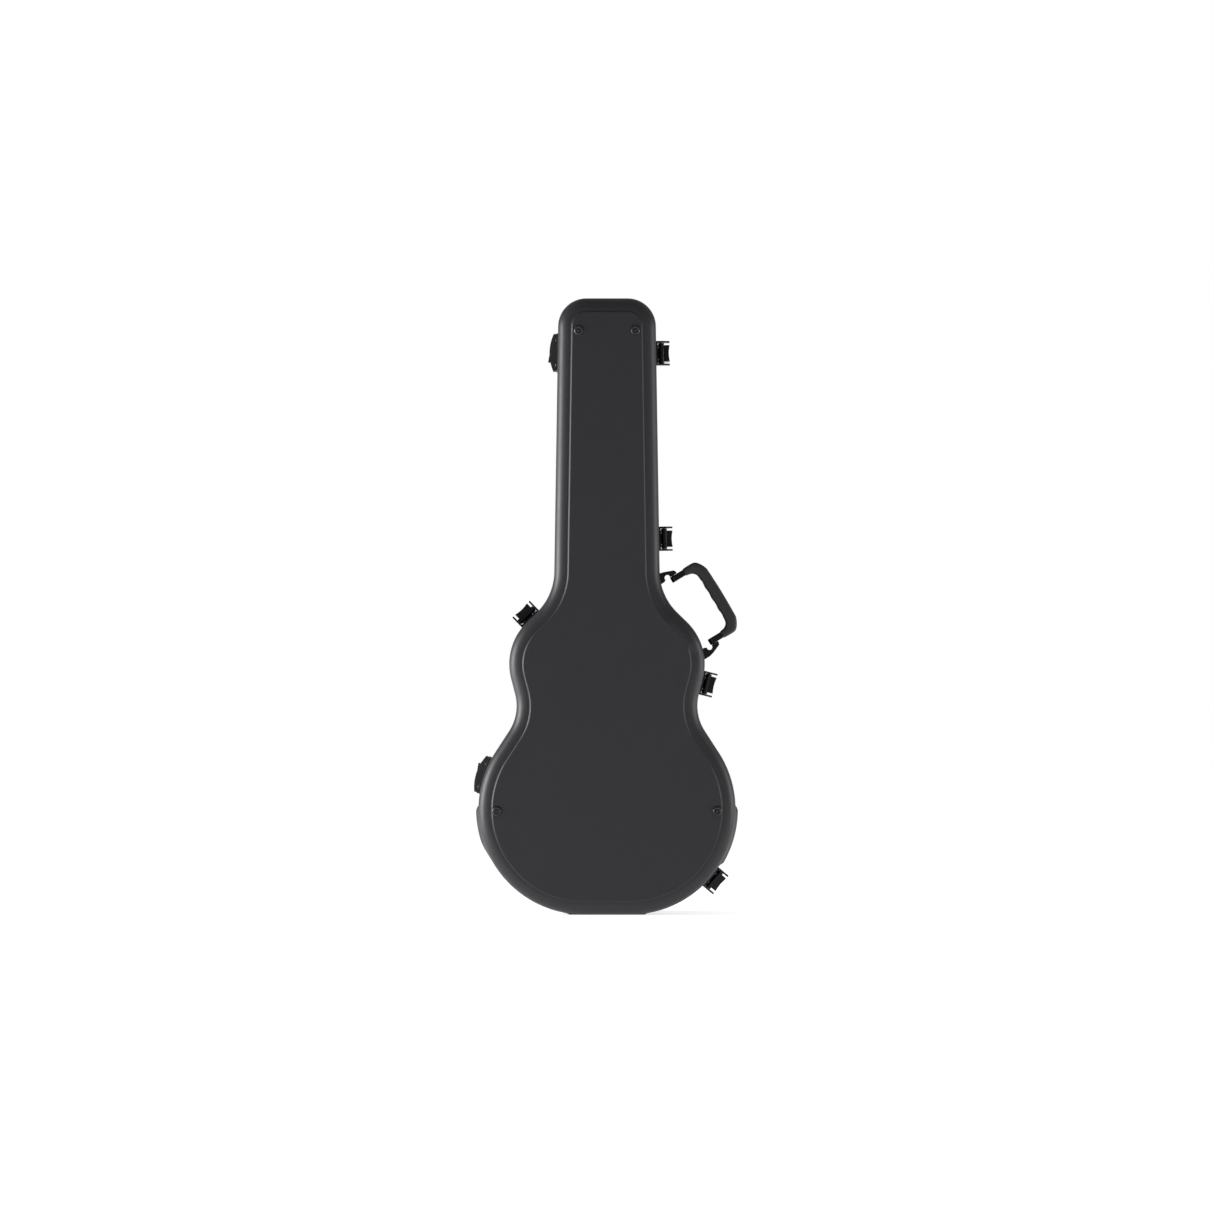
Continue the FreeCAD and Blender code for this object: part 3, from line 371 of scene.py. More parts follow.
class Shader:
    """A material's node tree with one Principled surface."""

    def __init__(self, name, colour, roughness, metallic=0.0, **fixed):
        self.material = bpy.data.materials.new(name)
        self.material.use_nodes = True
        self.tree = self.material.node_tree
        self.surface = self.tree.nodes["Principled BSDF"]
        self.put("Base Color", (*colour, 1))
        self.put("Roughness", roughness)
        self.put("Metallic", metallic)
        for socket, value in fixed.items():
            self.put(socket.replace("_", " "), value)
        self.place = self.node("ShaderNodeTexCoord", {}, [], "Object")

    def node(self, kind, settings, inputs, output=0):
        made = self.tree.nodes.new(kind)
        for key, value in settings.items():
            setattr(made, key, value)
        pairs = inputs.items() if isinstance(inputs, dict) else enumerate(inputs)
        for key, value in pairs:
            if isinstance(value, Value):
                self.tree.links.new(value.socket, made.inputs[key])
            else:
                made.inputs[key].default_value = value
        return Value(self, made.outputs[output])

    def put(self, socket, value):
        if isinstance(value, Value):
            self.tree.links.new(value.socket, self.surface.inputs[socket])
        else:
            self.surface.inputs[socket].default_value = value

    def noise(self, scale, detail=3.0, roughness=0.55, stretch=None):
        where = self.place
        if stretch:
            where = self.node("ShaderNodeMapping", {}, {"Vector": self.place, "Scale": stretch})
        return self.node("ShaderNodeTexNoise", {}, {
            "Vector": where, "Scale": scale, "Detail": detail, "Roughness": roughness
        })

    def bands(self, direction, scale):
        where = {"Vector": self.place, "Scale": scale}
        return self.node("ShaderNodeTexWave", {"bands_direction": direction}, where)

    def ramp(self, value, low, high, bottom=0.0, top=1.0):
        return self.node("ShaderNodeMapRange", {"clamp": True}, {
            "Value": value, "From Min": low, "From Max": high, "To Min": bottom, "To Max": top
        })

    def mix(self, share, first, second):
        inputs = {0: share, 6: (*first, 1) if isinstance(first, tuple) else first}
        inputs[7] = (*second, 1) if isinstance(second, tuple) else second
        return self.node("ShaderNodeMix", {"data_type": "RGBA"}, inputs, 2)

    def bump(self, height, strength, distance):
        self.put("Normal", self.node("ShaderNodeBump", {}, {
            "Strength": strength, "Distance": distance, "Height": height
        }))


def scaled(colour, factor):
    return tuple(min(1.0, part * factor) for part in colour)


def moulded_plastic(name, colour, roughness=0.46, grain=0.00012):
    """Matte vacuum-formed plastic: fine leathery grain, faint cloudiness and rubbed spots."""
    shader = Shader(name, colour, roughness, Specular_IOR_Level=0.42)
    grain_fine = shader.noise(1500, 2.0)
    grain_coarse = shader.noise(420, 3.0)
    cloud = shader.noise(7, 4.0)
    rubbed = shader.ramp(shader.noise(34, 6.0, 0.7), 0.60, 0.78)
    shade = shader.mix(shader.ramp(cloud, 0.3, 0.7), scaled(colour, 0.93), scaled(colour, 1.07))
    shader.put("Base Color", shader.mix(rubbed * 0.10, shade, scaled(colour, 1.9)))
    even = shader.ramp(cloud, 0.3, 0.7, roughness - 0.03, roughness + 0.04)
    shader.put("Roughness", even - rubbed * 0.05)
    shader.bump(grain_fine * 0.6 + grain_coarse * 0.4, 0.55, grain)
    return shader.material


def gloss_plastic(name, colour):
    """Glossy injection-moulded nylon with hairline scratches."""
    shader = Shader(name, colour, 0.16, Specular_IOR_Level=0.20)
    flow = shader.noise(60, 4.0)
    scratch = shader.ramp(shader.noise(900, 2.0, 0.5, (1.0, 1.0, 0.06)), 0.62, 0.72)
    shader.put("Roughness", shader.ramp(flow, 0.35, 0.7, 0.13, 0.24) + scratch * 0.12)
    shader.put("Base Color", shader.mix(scratch * 0.25, colour, scaled(colour, 3.0)))
    shader.bump(flow * 0.7 + scratch * 0.3, 0.25, 0.0001)
    return shader.material


def soft_rubber(name, colour, roughness=0.62):
    """Matte over-moulded rubber with a fine sparkle texture."""
    shader = Shader(name, colour, roughness, Specular_IOR_Level=0.4)
    pores = shader.noise(2200, 2.0)
    cloud = shader.noise(40, 4.0)
    dull = shader.ramp(cloud, 0.35, 0.7)
    shader.put("Base Color", shader.mix(dull, scaled(colour, 0.85), scaled(colour, 1.15)))
    shader.put("Roughness", shader.ramp(cloud, 0.3, 0.7, roughness - 0.06, roughness + 0.06))
    shader.bump(pores, 0.6, 0.00015)
    return shader.material


def brushed_metal(name, colour, roughness, stretch):
    """Metal with fine drawing lines along its length."""
    shader = Shader(name, colour, roughness, 1.0)
    lines = shader.noise(900, 3.0, 0.6, stretch)
    tarnish = shader.noise(16, 4.0)
    shader.put("Roughness", shader.ramp(lines, 0.3, 0.7, roughness - 0.07, roughness + 0.09))
    shader.put("Base Color", shader.mix(shader.ramp(tarnish, 0.4, 0.8), colour, scaled(colour, 0.82)))
    shader.bump(lines, 0.2, 0.00006)
    return shader.material


def plush(name, colour):
    """Short-pile lining: soft clumps, a nap that catches light, painted into the base colour as lighter
    and darker patches, and a sheen.
    """
    shader = Shader(name, colour, 0.95, Sheen_Weight=0.6, Sheen_Roughness=0.4)
    shader.put("Sheen Tint", (*scaled(colour, 6.0), 1))
    pile = shader.noise(1400, 3.0, 0.7)
    clumps = shader.noise(160, 5.0, 0.65)
    brushed = shader.noise(18, 3.0)
    # painted light and shade: patches of nap are lighter or darker in the base colour, as if the nap
    # catches or loses the light
    painted_nap_sheen = shader.mix(shader.ramp(brushed, 0.35, 0.65), scaled(colour, 0.7), scaled(colour, 1.5))
    shader.put("Base Color", shader.mix(shader.ramp(clumps, 0.3, 0.75), painted_nap_sheen, scaled(colour, 2.0)))
    shader.bump(pile * 0.5 + clumps * 0.5, 0.9, 0.0012)
    return shader.material


def webbing(name, colour):
    """Woven tape: a tight over-and-under weave."""
    shader = Shader(name, colour, 0.8, Sheen_Weight=0.3)
    warp = shader.bands("X", 260.0)
    weave = warp * shader.bands("Z", 190.0)
    shader.put("Base Color", shader.mix(weave, scaled(colour, 0.5), scaled(colour, 1.6)))
    shader.bump(weave, 0.8, 0.0004)
    return shader.material


MATERIALS = {}


def material(name):
    return MATERIALS[name]


def make_materials():
    look = shell_settings()
    MATERIALS.update({
        "shell": moulded_plastic("moulded charcoal plastic", tuple(look.colour)),
        "hinge": moulded_plastic("moulded hinge plastic", scaled(look.colour, 1.1), 0.40),
        "foot": moulded_plastic("satin foot plastic", scaled(look.colour, 1.15), 0.34, 0.00005),
        "gloss": gloss_plastic("glossy black nylon", tuple(look.hardware_colour)),
        "grip": soft_rubber("over-moulded grip rubber", tuple(look.grip_colour)),
        "rim": brushed_metal("drawn aluminium", (0.62, 0.62, 0.63), 0.34, (1.0, 1.0, 1.0)),
        "steel": brushed_metal("plated steel", (0.45, 0.45, 0.46), 0.28, (1.0, 1.0, 1.0)),
        "dark_steel": brushed_metal("blackened steel", (0.05, 0.05, 0.052), 0.35, (1.0, 1.0, 1.0)),
        "plush": plush("charcoal plush", (0.018, 0.018, 0.020)),
        "tape": webbing("black woven tape", (0.02, 0.02, 0.021)),
    })


# ---------------------------------------------------------------- shells
EDGE_ROUND = 0.0008  # rounding of the wall's edge against the rim
VALLEY_FLAT = 0.001  # flat between the edge roll and the foot of the panel's step
PANEL_RINGS = (0.004, 0.0015, 0)  # mesh rings just inside the panel's edge
RIB_ROUNDNESS = 0.006  # length over which a rib's ends rise
RIB_TAPER = 0.05  # the left rib's longer run-out
STAND_HALF_WIDTH = 0.072
STAND_START = 0.018  # depth at which the flat under the tail starts
STAND_EASE = 0.003


def arc_points(centre, radius, start, end, steps):
    """Points of a section's arc, without its first one."""
    points = []
    for step in range(1, steps + 1):
        angle = math.radians(start + (end - start) * step / steps)
        points.append((centre[0] + radius * math.cos(angle), centre[1] + radius * math.sin(angle)))
    return points


def straight_points(begin, end, steps):
    return [
        (begin[0] + (end[0] - begin[0]) * step / steps, begin[1] + (end[1] - begin[1]) * step / steps)
        for step in range(1, steps + 1)
    ]


def shell_section(depth, rise):
    """Section as (inset, depth) from the raised panel out to the rim and back inside."""
    look = shell_settings()
    radius, wall, band = look.roll_radius, look.wall, look.rim_band
    valley = depth - rise
    centre = (radius, valley - radius)
    edge = radius + VALLEY_FLAT + look.panel_rise
    points = [(edge + ring, depth) for ring in PANEL_RINGS]
    points += step_curve(edge, depth, rise)
    points += [(radius, valley)]
    points += arc_points(centre, radius, 90, 180, 14)
    points += straight_points((0, centre[1]), (0, band + EDGE_ROUND), 10)
    points += arc_points((EDGE_ROUND, band + EDGE_ROUND), EDGE_ROUND, 180, 270, 3)
    points += [(wall, band)]
    inner = valley - wall
    inner_centre = (radius, inner - (radius - wall))
    points += straight_points((wall, band), (wall, inner_centre[1]), 2)
    points += arc_points(inner_centre, radius - wall, 180, 90, 8)
    points += [(edge + PANEL_RINGS[0], depth - wall)]
    return points


def step_curve(edge, panel, rise):
    """S-shaped step from the panel's rounded edge down to the valley."""
    width = shell_settings().panel_rise
    steps = 10
    return [
        (edge - width * step / steps, panel - rise * (0.5 - 0.5 * math.cos(math.pi * step / steps)))
        for step in range(1, steps + 1)
    ]


def panel_fade(point):
    """How much of the panel's step shows here: it runs out below the handle and softens along the tail."""
    away = abs(point.z - shell_settings().fade_height)
    at_handle = 0.08 + 0.92 * smoothstep(away, 0.018, 0.045) if point.x > 0 else 1.0
    at_tail = 0.35 + 0.65 * smoothstep(point.z, 0.02, 0.09)
    return at_handle * at_tail


def rib_bulge(point, depth, limit):
    """How far the side rib pushes the wall out at a point of the wall."""
    look = shell_settings()
    if point[2] > look.rib_top + 0.004 or point[2] < look.rib_foot - 0.02:
        return 0.0
    right = point[0] > 0
    start = smoothstep(look.rib_top + 0.002 - point[2], 0.0, RIB_ROUNDNESS)
    end = smoothstep(point[2] - look.rib_foot, 0.0, RIB_ROUNDNESS if right else RIB_TAPER)
    near_rim = smoothstep(depth, look.rim_band + 0.004, look.rim_band + 0.010)
    across = near_rim * smoothstep(limit - depth, 0.0, 0.012)
    return look.rib_proud * start * end * across


def stand_drop(point, depth, limit):
    """How far the wall is pushed down to the flat stand pads under the tail."""
    side = smoothstep(STAND_HALF_WIDTH - abs(point[0]), 0.0, 0.004)
    start = smoothstep(depth, STAND_START, STAND_START + STAND_EASE)
    end = smoothstep(limit + 0.009 - depth, 0.0, STAND_EASE)
    return side * (start * end)


def build_shell(name, node, body, depth, half):
    """A moulded shell: the section carried round the outline and closed by the panel's two faces."""
    look = shell_settings()
    stations = outline_stations(look.spacing)
    limit = depth - look.panel_rise - look.roll_radius
    loops = []
    for point, away in stations:
        loop = []
        for inset, deep in shell_section(depth, look.panel_rise * panel_fade(point)):
            spot = point - away * inset
            if inset < look.wall and deep > look.rim_band + 0.002:
                spot = spot + away * rib_bulge(point, deep, limit + 0.004)
                if abs(point.x) < 0.08 and point.z < 0.02:
                    spot.z -= spot.z * stand_drop(spot, deep, limit)
            spot.y = half * deep
            loop.append(spot)
        loops.append(loop)
    piece = ring_of_sections(name, loops)
    piece.data.polygons[-1].use_smooth = False
    piece.data.polygons[-2].use_smooth = False
    even_shading(piece, 60)
    return settle(piece, body, material("shell"), (node,))


class CASE_OT_shells(bpy.types.Operator):
    """Builds both moulded shells"""
    bl_idname = "case.shells"
    bl_label = "Moulded shells"

    def execute(self, context):
        build_shell("base_shell_moulding", "base_shell", "base", BASE_DEPTH, BACK)
        build_shell("lid_shell_moulding", "lid_shell", "lid", LID_DEPTH, FRONT)
        return {"FINISHED"}


# ---------------------------------------------------------------- rims
class CASE_OT_rims(bpy.types.Operator):
    """Finishes the aluminium rims"""
    bl_idname = "case.rims"
    bl_label = "Aluminium rims"

    def execute(self, context):
        for node in ("base_rim", "lid_rim"):
            refined(node, material("rim"), 0.0004, 2, 40)
        return {"FINISHED"}


# ---------------------------------------------------------------- feet and fasteners
def loose_parts(node):
    """Point lists of the separate solids in a node's mesh."""
    work = bmesh.new()
    work.from_mesh(frame["nodes"][node].data)
    bmesh.ops.remove_doubles(work, verts=work.verts, dist=MERGE_DISTANCE)
    seen, parts = set(), []
    for first in work.verts:
        if first in seen:
            continue
        seen.add(first)
        front, part = [first], []
        while front:
            vertex = front.pop()
            part.append(vertex.co.copy())
            beside = [edge.other_vert(vertex) for edge in vertex.link_edges]
            fresh = [other for other in beside if other not in seen]
            seen.update(fresh)
            front += fresh
        parts.append(part)
    work.free()
    return parts


def node_input(group, name, kind, default=None):
    socket = group.interface.new_socket(name=name, in_out="INPUT", socket_type=kind)
    if default is not None:
        socket.default_value = default
    return socket.identifier


def scatter_group():
    """Geometry Nodes tree that puts a copy of one shape on each point, turned along the point's facing."""
    group = bpy.data.node_groups.new("fasteners on points", "GeometryNodeTree")
    node_input(group, "Points", "NodeSocketGeometry")
    identifiers = {
        "shape": node_input(group, "Shape", "NodeSocketObject"),
        "size": node_input(group, "Size", "NodeSocketFloat", 1.0),
        "finish": node_input(group, "Finish", "NodeSocketMaterial"),
    }
    group.interface.new_socket(name="Geometry", in_out="OUTPUT", socket_type="NodeSocketGeometry")
    nodes, links = group.nodes, group.links
    start, end = nodes.new("NodeGroupInput"), nodes.new("NodeGroupOutput")
    info = nodes.new("GeometryNodeObjectInfo")
    facing = nodes.new("GeometryNodeInputNamedAttribute")
    facing.data_type = "FLOAT_VECTOR"
    facing.inputs["Name"].default_value = "facing"
    turn = nodes.new("FunctionNodeAlignRotationToVector")
    turn.axis = "Z"
    spread = nodes.new("GeometryNodeInstanceOnPoints")
    whole = nodes.new("GeometryNodeRealizeInstances")
    painted = nodes.new("GeometryNodeSetMaterial")
    links.new(start.outputs["Shape"], info.inputs["Object"])
    links.new(facing.outputs["Attribute"], turn.inputs["Vector"])
    links.new(start.outputs["Points"], spread.inputs["Points"])
    links.new(info.outputs["Geometry"], spread.inputs["Instance"])
    links.new(turn.outputs["Rotation"], spread.inputs["Rotation"])
    links.new(start.outputs["Size"], spread.inputs["Scale"])
    links.new(spread.outputs["Instances"], whole.inputs["Geometry"])
    links.new(whole.outputs["Geometry"], painted.inputs["Geometry"])
    links.new(start.outputs["Finish"], painted.inputs["Material"])
    links.new(painted.outputs["Geometry"], end.inputs["Geometry"])
    return group, identifiers


def scatter(name, shape, spots, body, finish, replaced):
    """One plain mesh with the shape at every (point, facing)."""
    group, identifiers = scatter_group()
    mesh = bpy.data.meshes.new(name)
    mesh.from_pydata([tuple(point) for point, _ in spots], [], [])
    facing = mesh.attributes.new("facing", "FLOAT_VECTOR", "POINT")
    facing.data.foreach_set("vector", [part for _, away in spots for part in away])
    piece = bpy.data.objects.new(name, mesh)
    bpy.context.scene.collection.objects.link(piece)
    modifier = piece.modifiers.new("fasteners", "NODES")
    modifier.node_group = group
    modifier[identifiers["shape"]] = shape
    modifier[identifiers["size"]] = 1.0
    modifier[identifiers["finish"]] = finish
    bpy.context.view_layer.update()
    apply_modifiers(piece)
    piece.data.name = name
    bpy.data.objects.remove(shape)
    return settle(piece, body, None, replaced)


RIVET_HEAD = 0.0018  # height of a rivet's head


def rivet_shape():
    """Domed rivet head with the hole that its mandrel leaves."""
    profile = [
        (0.0, 0.00125), (0.0006, 0.00125), (0.0008, 0.0013), (0.0009, 0.0017), (0.0013, RIVET_HEAD),
        (0.0022, 0.00165), (0.0030, 0.0012), (0.0036, 0.0006), (0.0038, 0.0),
        (0.0036, -0.0002), (0.0, -0.0002),
    ]
    return turned_piece("rivet", profile, 24)


def turned_piece(name, profile, segments, place=None):
    """A closed turned shape whose first and last profile points lie on the axis."""
    place = place or Matrix.Identity(4)
    loops = lathe_loops(profile[1:-1], segments, place)
    points = [spot for loop in loops for spot in loop]
    faces = band_faces(len(loops), segments)
    for row, (_, height) in ((0, profile[0]), (len(loops) - 1, profile[-1])):
        points.append(place @ Vector((0, 0, height)))
        low, tip = row * segments, len(points) - 1
        faces += [(low + k, low + (k + 1) % segments, tip) for k in range(segments)]
    return new_piece(name, points, faces)


def rivet_spots(node, stations):
    """Where each rivet's head sits, and which way it faces."""
    spots = []
    for part in loose_parts(node):
        middle = sum(part, Vector()) / len(part)
        away = nearest_station(middle, stations)[1]
        foot = part_axis(part, away)
        top = max((point - foot).dot(away) for point in part)
        spots.append((foot + away * (top - RIVET_HEAD), away))
    return spots


def part_axis(part, away):
    """A point on the axis of a turned part that lies along away."""
    low = min(point.dot(away) for point in part)
    ring = [point for point in part if point.dot(away) < low + 1e-4]
    return sum(ring, Vector()) / len(ring)


FOOT_SEAT = 0.72  # height of the screw's seat, as a share of the foot's


class CASE_OT_feet(bpy.types.Operator):
    """Builds the domed back feet and their cross-head screws"""
    bl_idname = "case.feet"
    bl_label = "Back feet"

    def execute(self, context):
        spots = []
        for node in nodes_named("back_foot"):
            low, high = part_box(node)
            middle = Vector(((low[0] + high[0]) / 2, high[1], (low[2] + high[2]) / 2))
            radius, rise = (high[0] - low[0]) / 2, high[1] - low[1]
            place = Matrix.Translation(middle) @ Matrix.Rotation(math.radians(90), 4, "X")
            seat = rise * FOOT_SEAT
            profile = [(0.0, seat), (0.0034, seat), (0.0037, rise * 0.76), (0.0038, rise * 0.90)]
            for step in range(13):
                angle = math.radians(62 - 62 * step / 12)
                reach, height = 0.47 + 0.53 * math.cos(angle), 0.10 + 1.02 * math.sin(angle)
                profile.append((radius * reach, rise * height))
            profile += [(radius, rise * 0.05), (radius * 0.99, 0.0), (0.0, 0.0)]
            foot = turned_piece(node + "_dome", profile, 48, place)
            settle(foot, frame["nodes"][node]["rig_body"], material("foot"), (node,))
            spots.append((middle + Vector((0, -seat, 0)), Vector((0, -1, 0))))
        finish = material("dark_steel")
        scatter("foot_screw_heads", screw_shape(), spots, "base", finish, ("foot_screws",))
        return {"FINISHED"}


def screw_shape():
    """Pan-head screw with a cross recess."""
    head = turned_piece("screw", [
        (0.0, 0.0015), (0.0012, 0.0015), (0.0022, 0.0014), (0.0029, 0.0011), (0.0033, 0.0006),
        (0.0034, 0.0), (0.0033, -0.0002), (0.0, -0.0002),
    ], 32)
    for turn in (0, 90):
        cutter = box_piece("recess", (0.0038, 0.0008, 0.0014), Vector((0, 0, 0.0014)), turn)
        cut = head.modifiers.new("recess", "BOOLEAN")
        cut.operation, cut.solver, cut.object = "DIFFERENCE", "EXACT", cutter
        apply_modifiers(head)
        bpy.data.objects.remove(cutter)
    even_shading(head, 70)
    apply_modifiers(head)
    return head


def box_piece(name, lengths, middle, turn):
    work = bmesh.new()
    bmesh.ops.create_cube(work, size=1)
    bmesh.ops.scale(work, vec=Vector(lengths), verts=work.verts)
    bmesh.ops.rotate(work, matrix=Matrix.Rotation(math.radians(turn), 3, "Z"), verts=work.verts)
    bmesh.ops.translate(work, vec=middle, verts=work.verts)
    mesh = bpy.data.meshes.new(name)
    work.to_mesh(mesh)
    work.free()
    piece = bpy.data.objects.new(name, mesh)
    bpy.context.scene.collection.objects.link(piece)
    return piece


class CASE_OT_rivets(bpy.types.Operator):
    """Puts a domed head on every rivet"""
    bl_idname = "case.rivets"
    bl_label = "Rivets"

    def execute(self, context):
        stations = outline_stations(0.002)
        for node in ("latch_rivets", "keeper_rivets", "hinge_base_rivets", "hinge_lid_rivets"):
            body = frame["nodes"][node]["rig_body"]
            finish, spots = material("dark_steel"), rivet_spots(node, stations)
            scatter(node + "_heads", rivet_shape(), spots, body, finish, (node,))
        return {"FINISHED"}


# ---------------------------------------------------------------- latches, hinges, handle
class CASE_OT_latches(bpy.types.Operator):
    """Finishes the brackets, levers, triggers, keepers and pins of the latches"""
    bl_idname = "case.latches"
    bl_label = "Latches"

    def execute(self, context):
        for node in nodes_named("latch_"):
            if "rivets" in node:
                continue
            if "pin" in node:
                refined(node, material("steel"), 0.0003, 2)
            else:
                refined(node, material("gloss"), 0.0007, 3)
        return {"FINISHED"}


class CASE_OT_hinges(bpy.types.Operator):
    """Finishes the hinge leaves and pins"""
    bl_idname = "case.hinges"
    bl_label = "Hinges"

    def execute(self, context):
        for node in nodes_named("hinge_"):
            if "leaf" in node:
                refined(node, material("hinge"), 0.0010, 3)
        refined("hinge_pins", material("steel"), 0.0003, 2)
        return {"FINISHED"}


def handle_place():
    """Frame of the handle: X out of the case, Y across it and Z along its pivots, at their middle."""
    joint = JOINTS["handle_swing"]
    along = Vector(joint["axis"]).normalized()
    across = Vector((0, 1, 0))
    out = across.cross(along).normalized()
    turn = Matrix((out, across, along)).transposed().to_4x4()
    return Matrix.Translation(Vector(joint["pos_m"])) @ turn


def superellipse(inner, outer, wide, samples, power=3.2):
    """Closed loop round the segment from inner to outer, as wide as asked across it."""
    middle, reach = (inner + outer) / 2, (outer - inner) / 2
    loop = []
    for sample in range(samples):
        angle = 2 * math.pi * sample / samples
        cosine, sine = math.cos(angle), math.sin(angle)
        along = math.copysign(abs(cosine) ** (2 / power), cosine)
        across = math.copysign(abs(sine) ** (2 / power), sine)
        loop.append(middle + reach * along + Vector((0, wide * across, 0)))
    return loop


GRIP_HALF_WIDTH = 0.0125
GRIP_CROWN = 0.0012  # how far the grip's back bows out
FINGER_WAVE = 0.0011  # depth of the finger waves
FINGER_WAVES = 4
GRIP_CORNER = [
    # inner and outer (out, along) points of the upper end, from the leg to the straight grip
    ((0.0195, 0.0584), (0.0198, 0.0706)),
    ((0.0203, 0.0578), (0.0208, 0.0713)),
    ((0.0225, 0.0574), (0.0265, 0.0716)),
    ((0.0258, 0.0569), (0.0340, 0.0718)),
    ((0.0292, 0.0560), (0.0405, 0.0718)),
    ((0.0324, 0.0542), (0.0455, 0.0706)),
    ((0.0348, 0.0516), (0.0503, 0.0658)),
    ((0.0367, 0.0487), (0.0548, 0.0585)),
    ((0.0374, 0.0445), (0.0580, 0.0505)),
]


def build_grip():
    """The over-moulded grip: a mirrored corner at each end and finger waves along the inside."""
    place = handle_place()
    pairs = [(Vector((i[0], 0, i[1])), Vector((o[0], 0, o[1]))) for i, o in GRIP_CORNER]
    top_inner, top_outer = pairs[-1]
    steps = 40
    middle = []
    for step in range(1, steps):
        share = step / steps
        inner = top_inner.lerp(Vector((top_inner.x, 0, -top_inner.z)), share)
        outer = top_outer.lerp(Vector((top_outer.x, 0, -top_outer.z)), share)
        fade = smoothstep(share, 0.0, 0.12) * smoothstep(1 - share, 0.0, 0.12)
        inner.x += fade * FINGER_WAVE * (1 - math.cos(2 * math.pi * share * FINGER_WAVES)) / 2
        outer.x += GRIP_CROWN * math.sin(math.pi * share)
        middle.append((inner, outer))
    lower = [(Vector((i.x, 0, -i.z)), Vector((o.x, 0, -o.z))) for i, o in reversed(pairs)]
    loops = [
        [place @ spot for spot in superellipse(inner, outer, GRIP_HALF_WIDTH, 28)]
        for inner, outer in pairs + middle + lower
    ]
    grip = loft("handle_grip_rubber", loops)
    smooth = grip.modifiers.new("smooth", "SUBSURF")
    smooth.levels = smooth.render_levels = 1
    return settle(grip, "handle", material("grip"), ("handle_grip",))


class CASE_OT_handle(bpy.types.Operator):
    """Builds the carrying handle's grip and finishes its ends, brackets and pins"""
    bl_idname = "case.handle"
    bl_label = "Carrying handle"

    def execute(self, context):
        build_grip()
        for part in ("end_upper", "end_lower", "bracket_upper", "bracket_lower"):
            refined("handle_" + part, material("gloss"), 0.0012, 3)
        refined("handle_pins", material("steel"), 0.0004, 2)
        return {"FINISHED"}


# ---------------------------------------------------------------- inside
def ring_piece(name, section, half, spacing):
    """A closed section of (inset, depth) points carried once round the outline."""
    loops = []
    for point, away in outline_stations(spacing):
        loop = [point - away * inset for inset, _ in section]
        for spot, (_, deep) in zip(loop, section):
            spot.y = half * deep
        loops.append(loop)
    return loft(name, loops, joined=True)


FLOOR_PAD = 0.0062  # thickness of the floor pads
PAD_GAP = 0.0018  # from the wall to the wall pad, and from there to the floor pad
PIPING = 0.0016  # radius of the welt


def lining_levels(depth, width):
    """Depths of the shell's inside and the floor pad's face, and insets of the wall pad's sides."""
    look = shell_settings()
    valley = depth - look.panel_rise - look.wall
    outer = look.wall + PAD_GAP
    return valley, valley - FLOOR_PAD, outer, outer + width


def wall_pad_section(depth, width):
    """Section of the wall's foam pad: plump towards the opening, flat against the shell."""
    look = shell_settings()
    valley, floor, outer, inner = lining_levels(depth, width)
    top = look.rim_band + 0.001
    reach = width / 2
    wall_foot = depth - look.panel_rise - look.roll_radius + 0.002
    points = [(look.roll_radius + 0.001, valley), (outer, wall_foot)]
    points += straight_points(points[-1], (outer, top + reach * 0.8), 3)
    for step in range(1, 15):
        angle = math.pi * step / 15
        across = math.copysign(abs(math.cos(angle)) ** 0.75, -math.cos(angle))
        points.append((outer + reach + reach * across, top + reach * 0.8 * (1 - math.sin(angle) ** 0.8)))
    tuck = (inner - 0.0012, floor - 0.003)
    points += straight_points((inner, top + reach * 0.8), tuck, 6)
    points += [(inner + 0.0003, floor + 0.001), (inner + 0.0018, floor + 0.0035), (inner + 0.0018, valley)]
    return points


def piping_section(depth, width):
    """Round welt sewn along the foot of the wall pad."""
    _, floor, _, inner = lining_levels(depth, width)
    return arc_points((inner + PIPING / 2, floor - 0.0012), PIPING, 0, 360, 10)


def floor_pad(body, depth, width, half):
    """The pad under the instrument: a crowned sheet whose edges tuck down into the corner."""
    valley, floor, _, inner = lining_levels(depth, width)
    fall = [(0.0, 0.0028), (0.0015, 0.0012), (0.004, 0.0003), (0.009, 0.0), (0.016, 0.0)]
    loops = []
    for point, away in outline_stations(0.006):
        loop = []
        for extra, drop in fall:
            spot = point - away * (inner + PAD_GAP + extra)
            spot.y = half * (floor + drop)
            loop.append(spot)
        under = point - away * (inner + 0.0075)
        under.y = half * (valley + shell_settings().panel_rise)
        loop.insert(0, under)
        loops.append(loop)
    piece = ring_of_sections(body + "_floor_pad_plush", loops)
    settle(piece, body, material("plush"), (body + "_floor_pad",))


class CASE_OT_lining(bpy.types.Operator):
    """Builds the plush pads of both shells, their piping and the neck rest"""
    bl_idname = "case.lining"
    bl_label = "Padded lining"

    def execute(self, context):
        halves = (("base", BASE_DEPTH, 0.022, BACK), ("lid", LID_DEPTH, 0.020, FRONT))
        for body, depth, width, half in halves:
            wall_pad = ring_piece(body + "_wall_pad_plush", wall_pad_section(depth, width), half, 0.008)
            settle(wall_pad, body, material("plush"), (body + "_wall_pad",))
            piping = ring_piece(body + "_piping", piping_section(depth, width), half, 0.008)
            settle(piping, body, material("tape"))
            floor_pad(body, depth, width, half)
        build_neck_rest()
        return {"FINISHED"}


REST_SHRINK = (0.0015, 0.0012, 0.0020)  # taken off the neck rest's sides before it swells
REST_SWELL = 0.0022  # furthest that a point of it may move


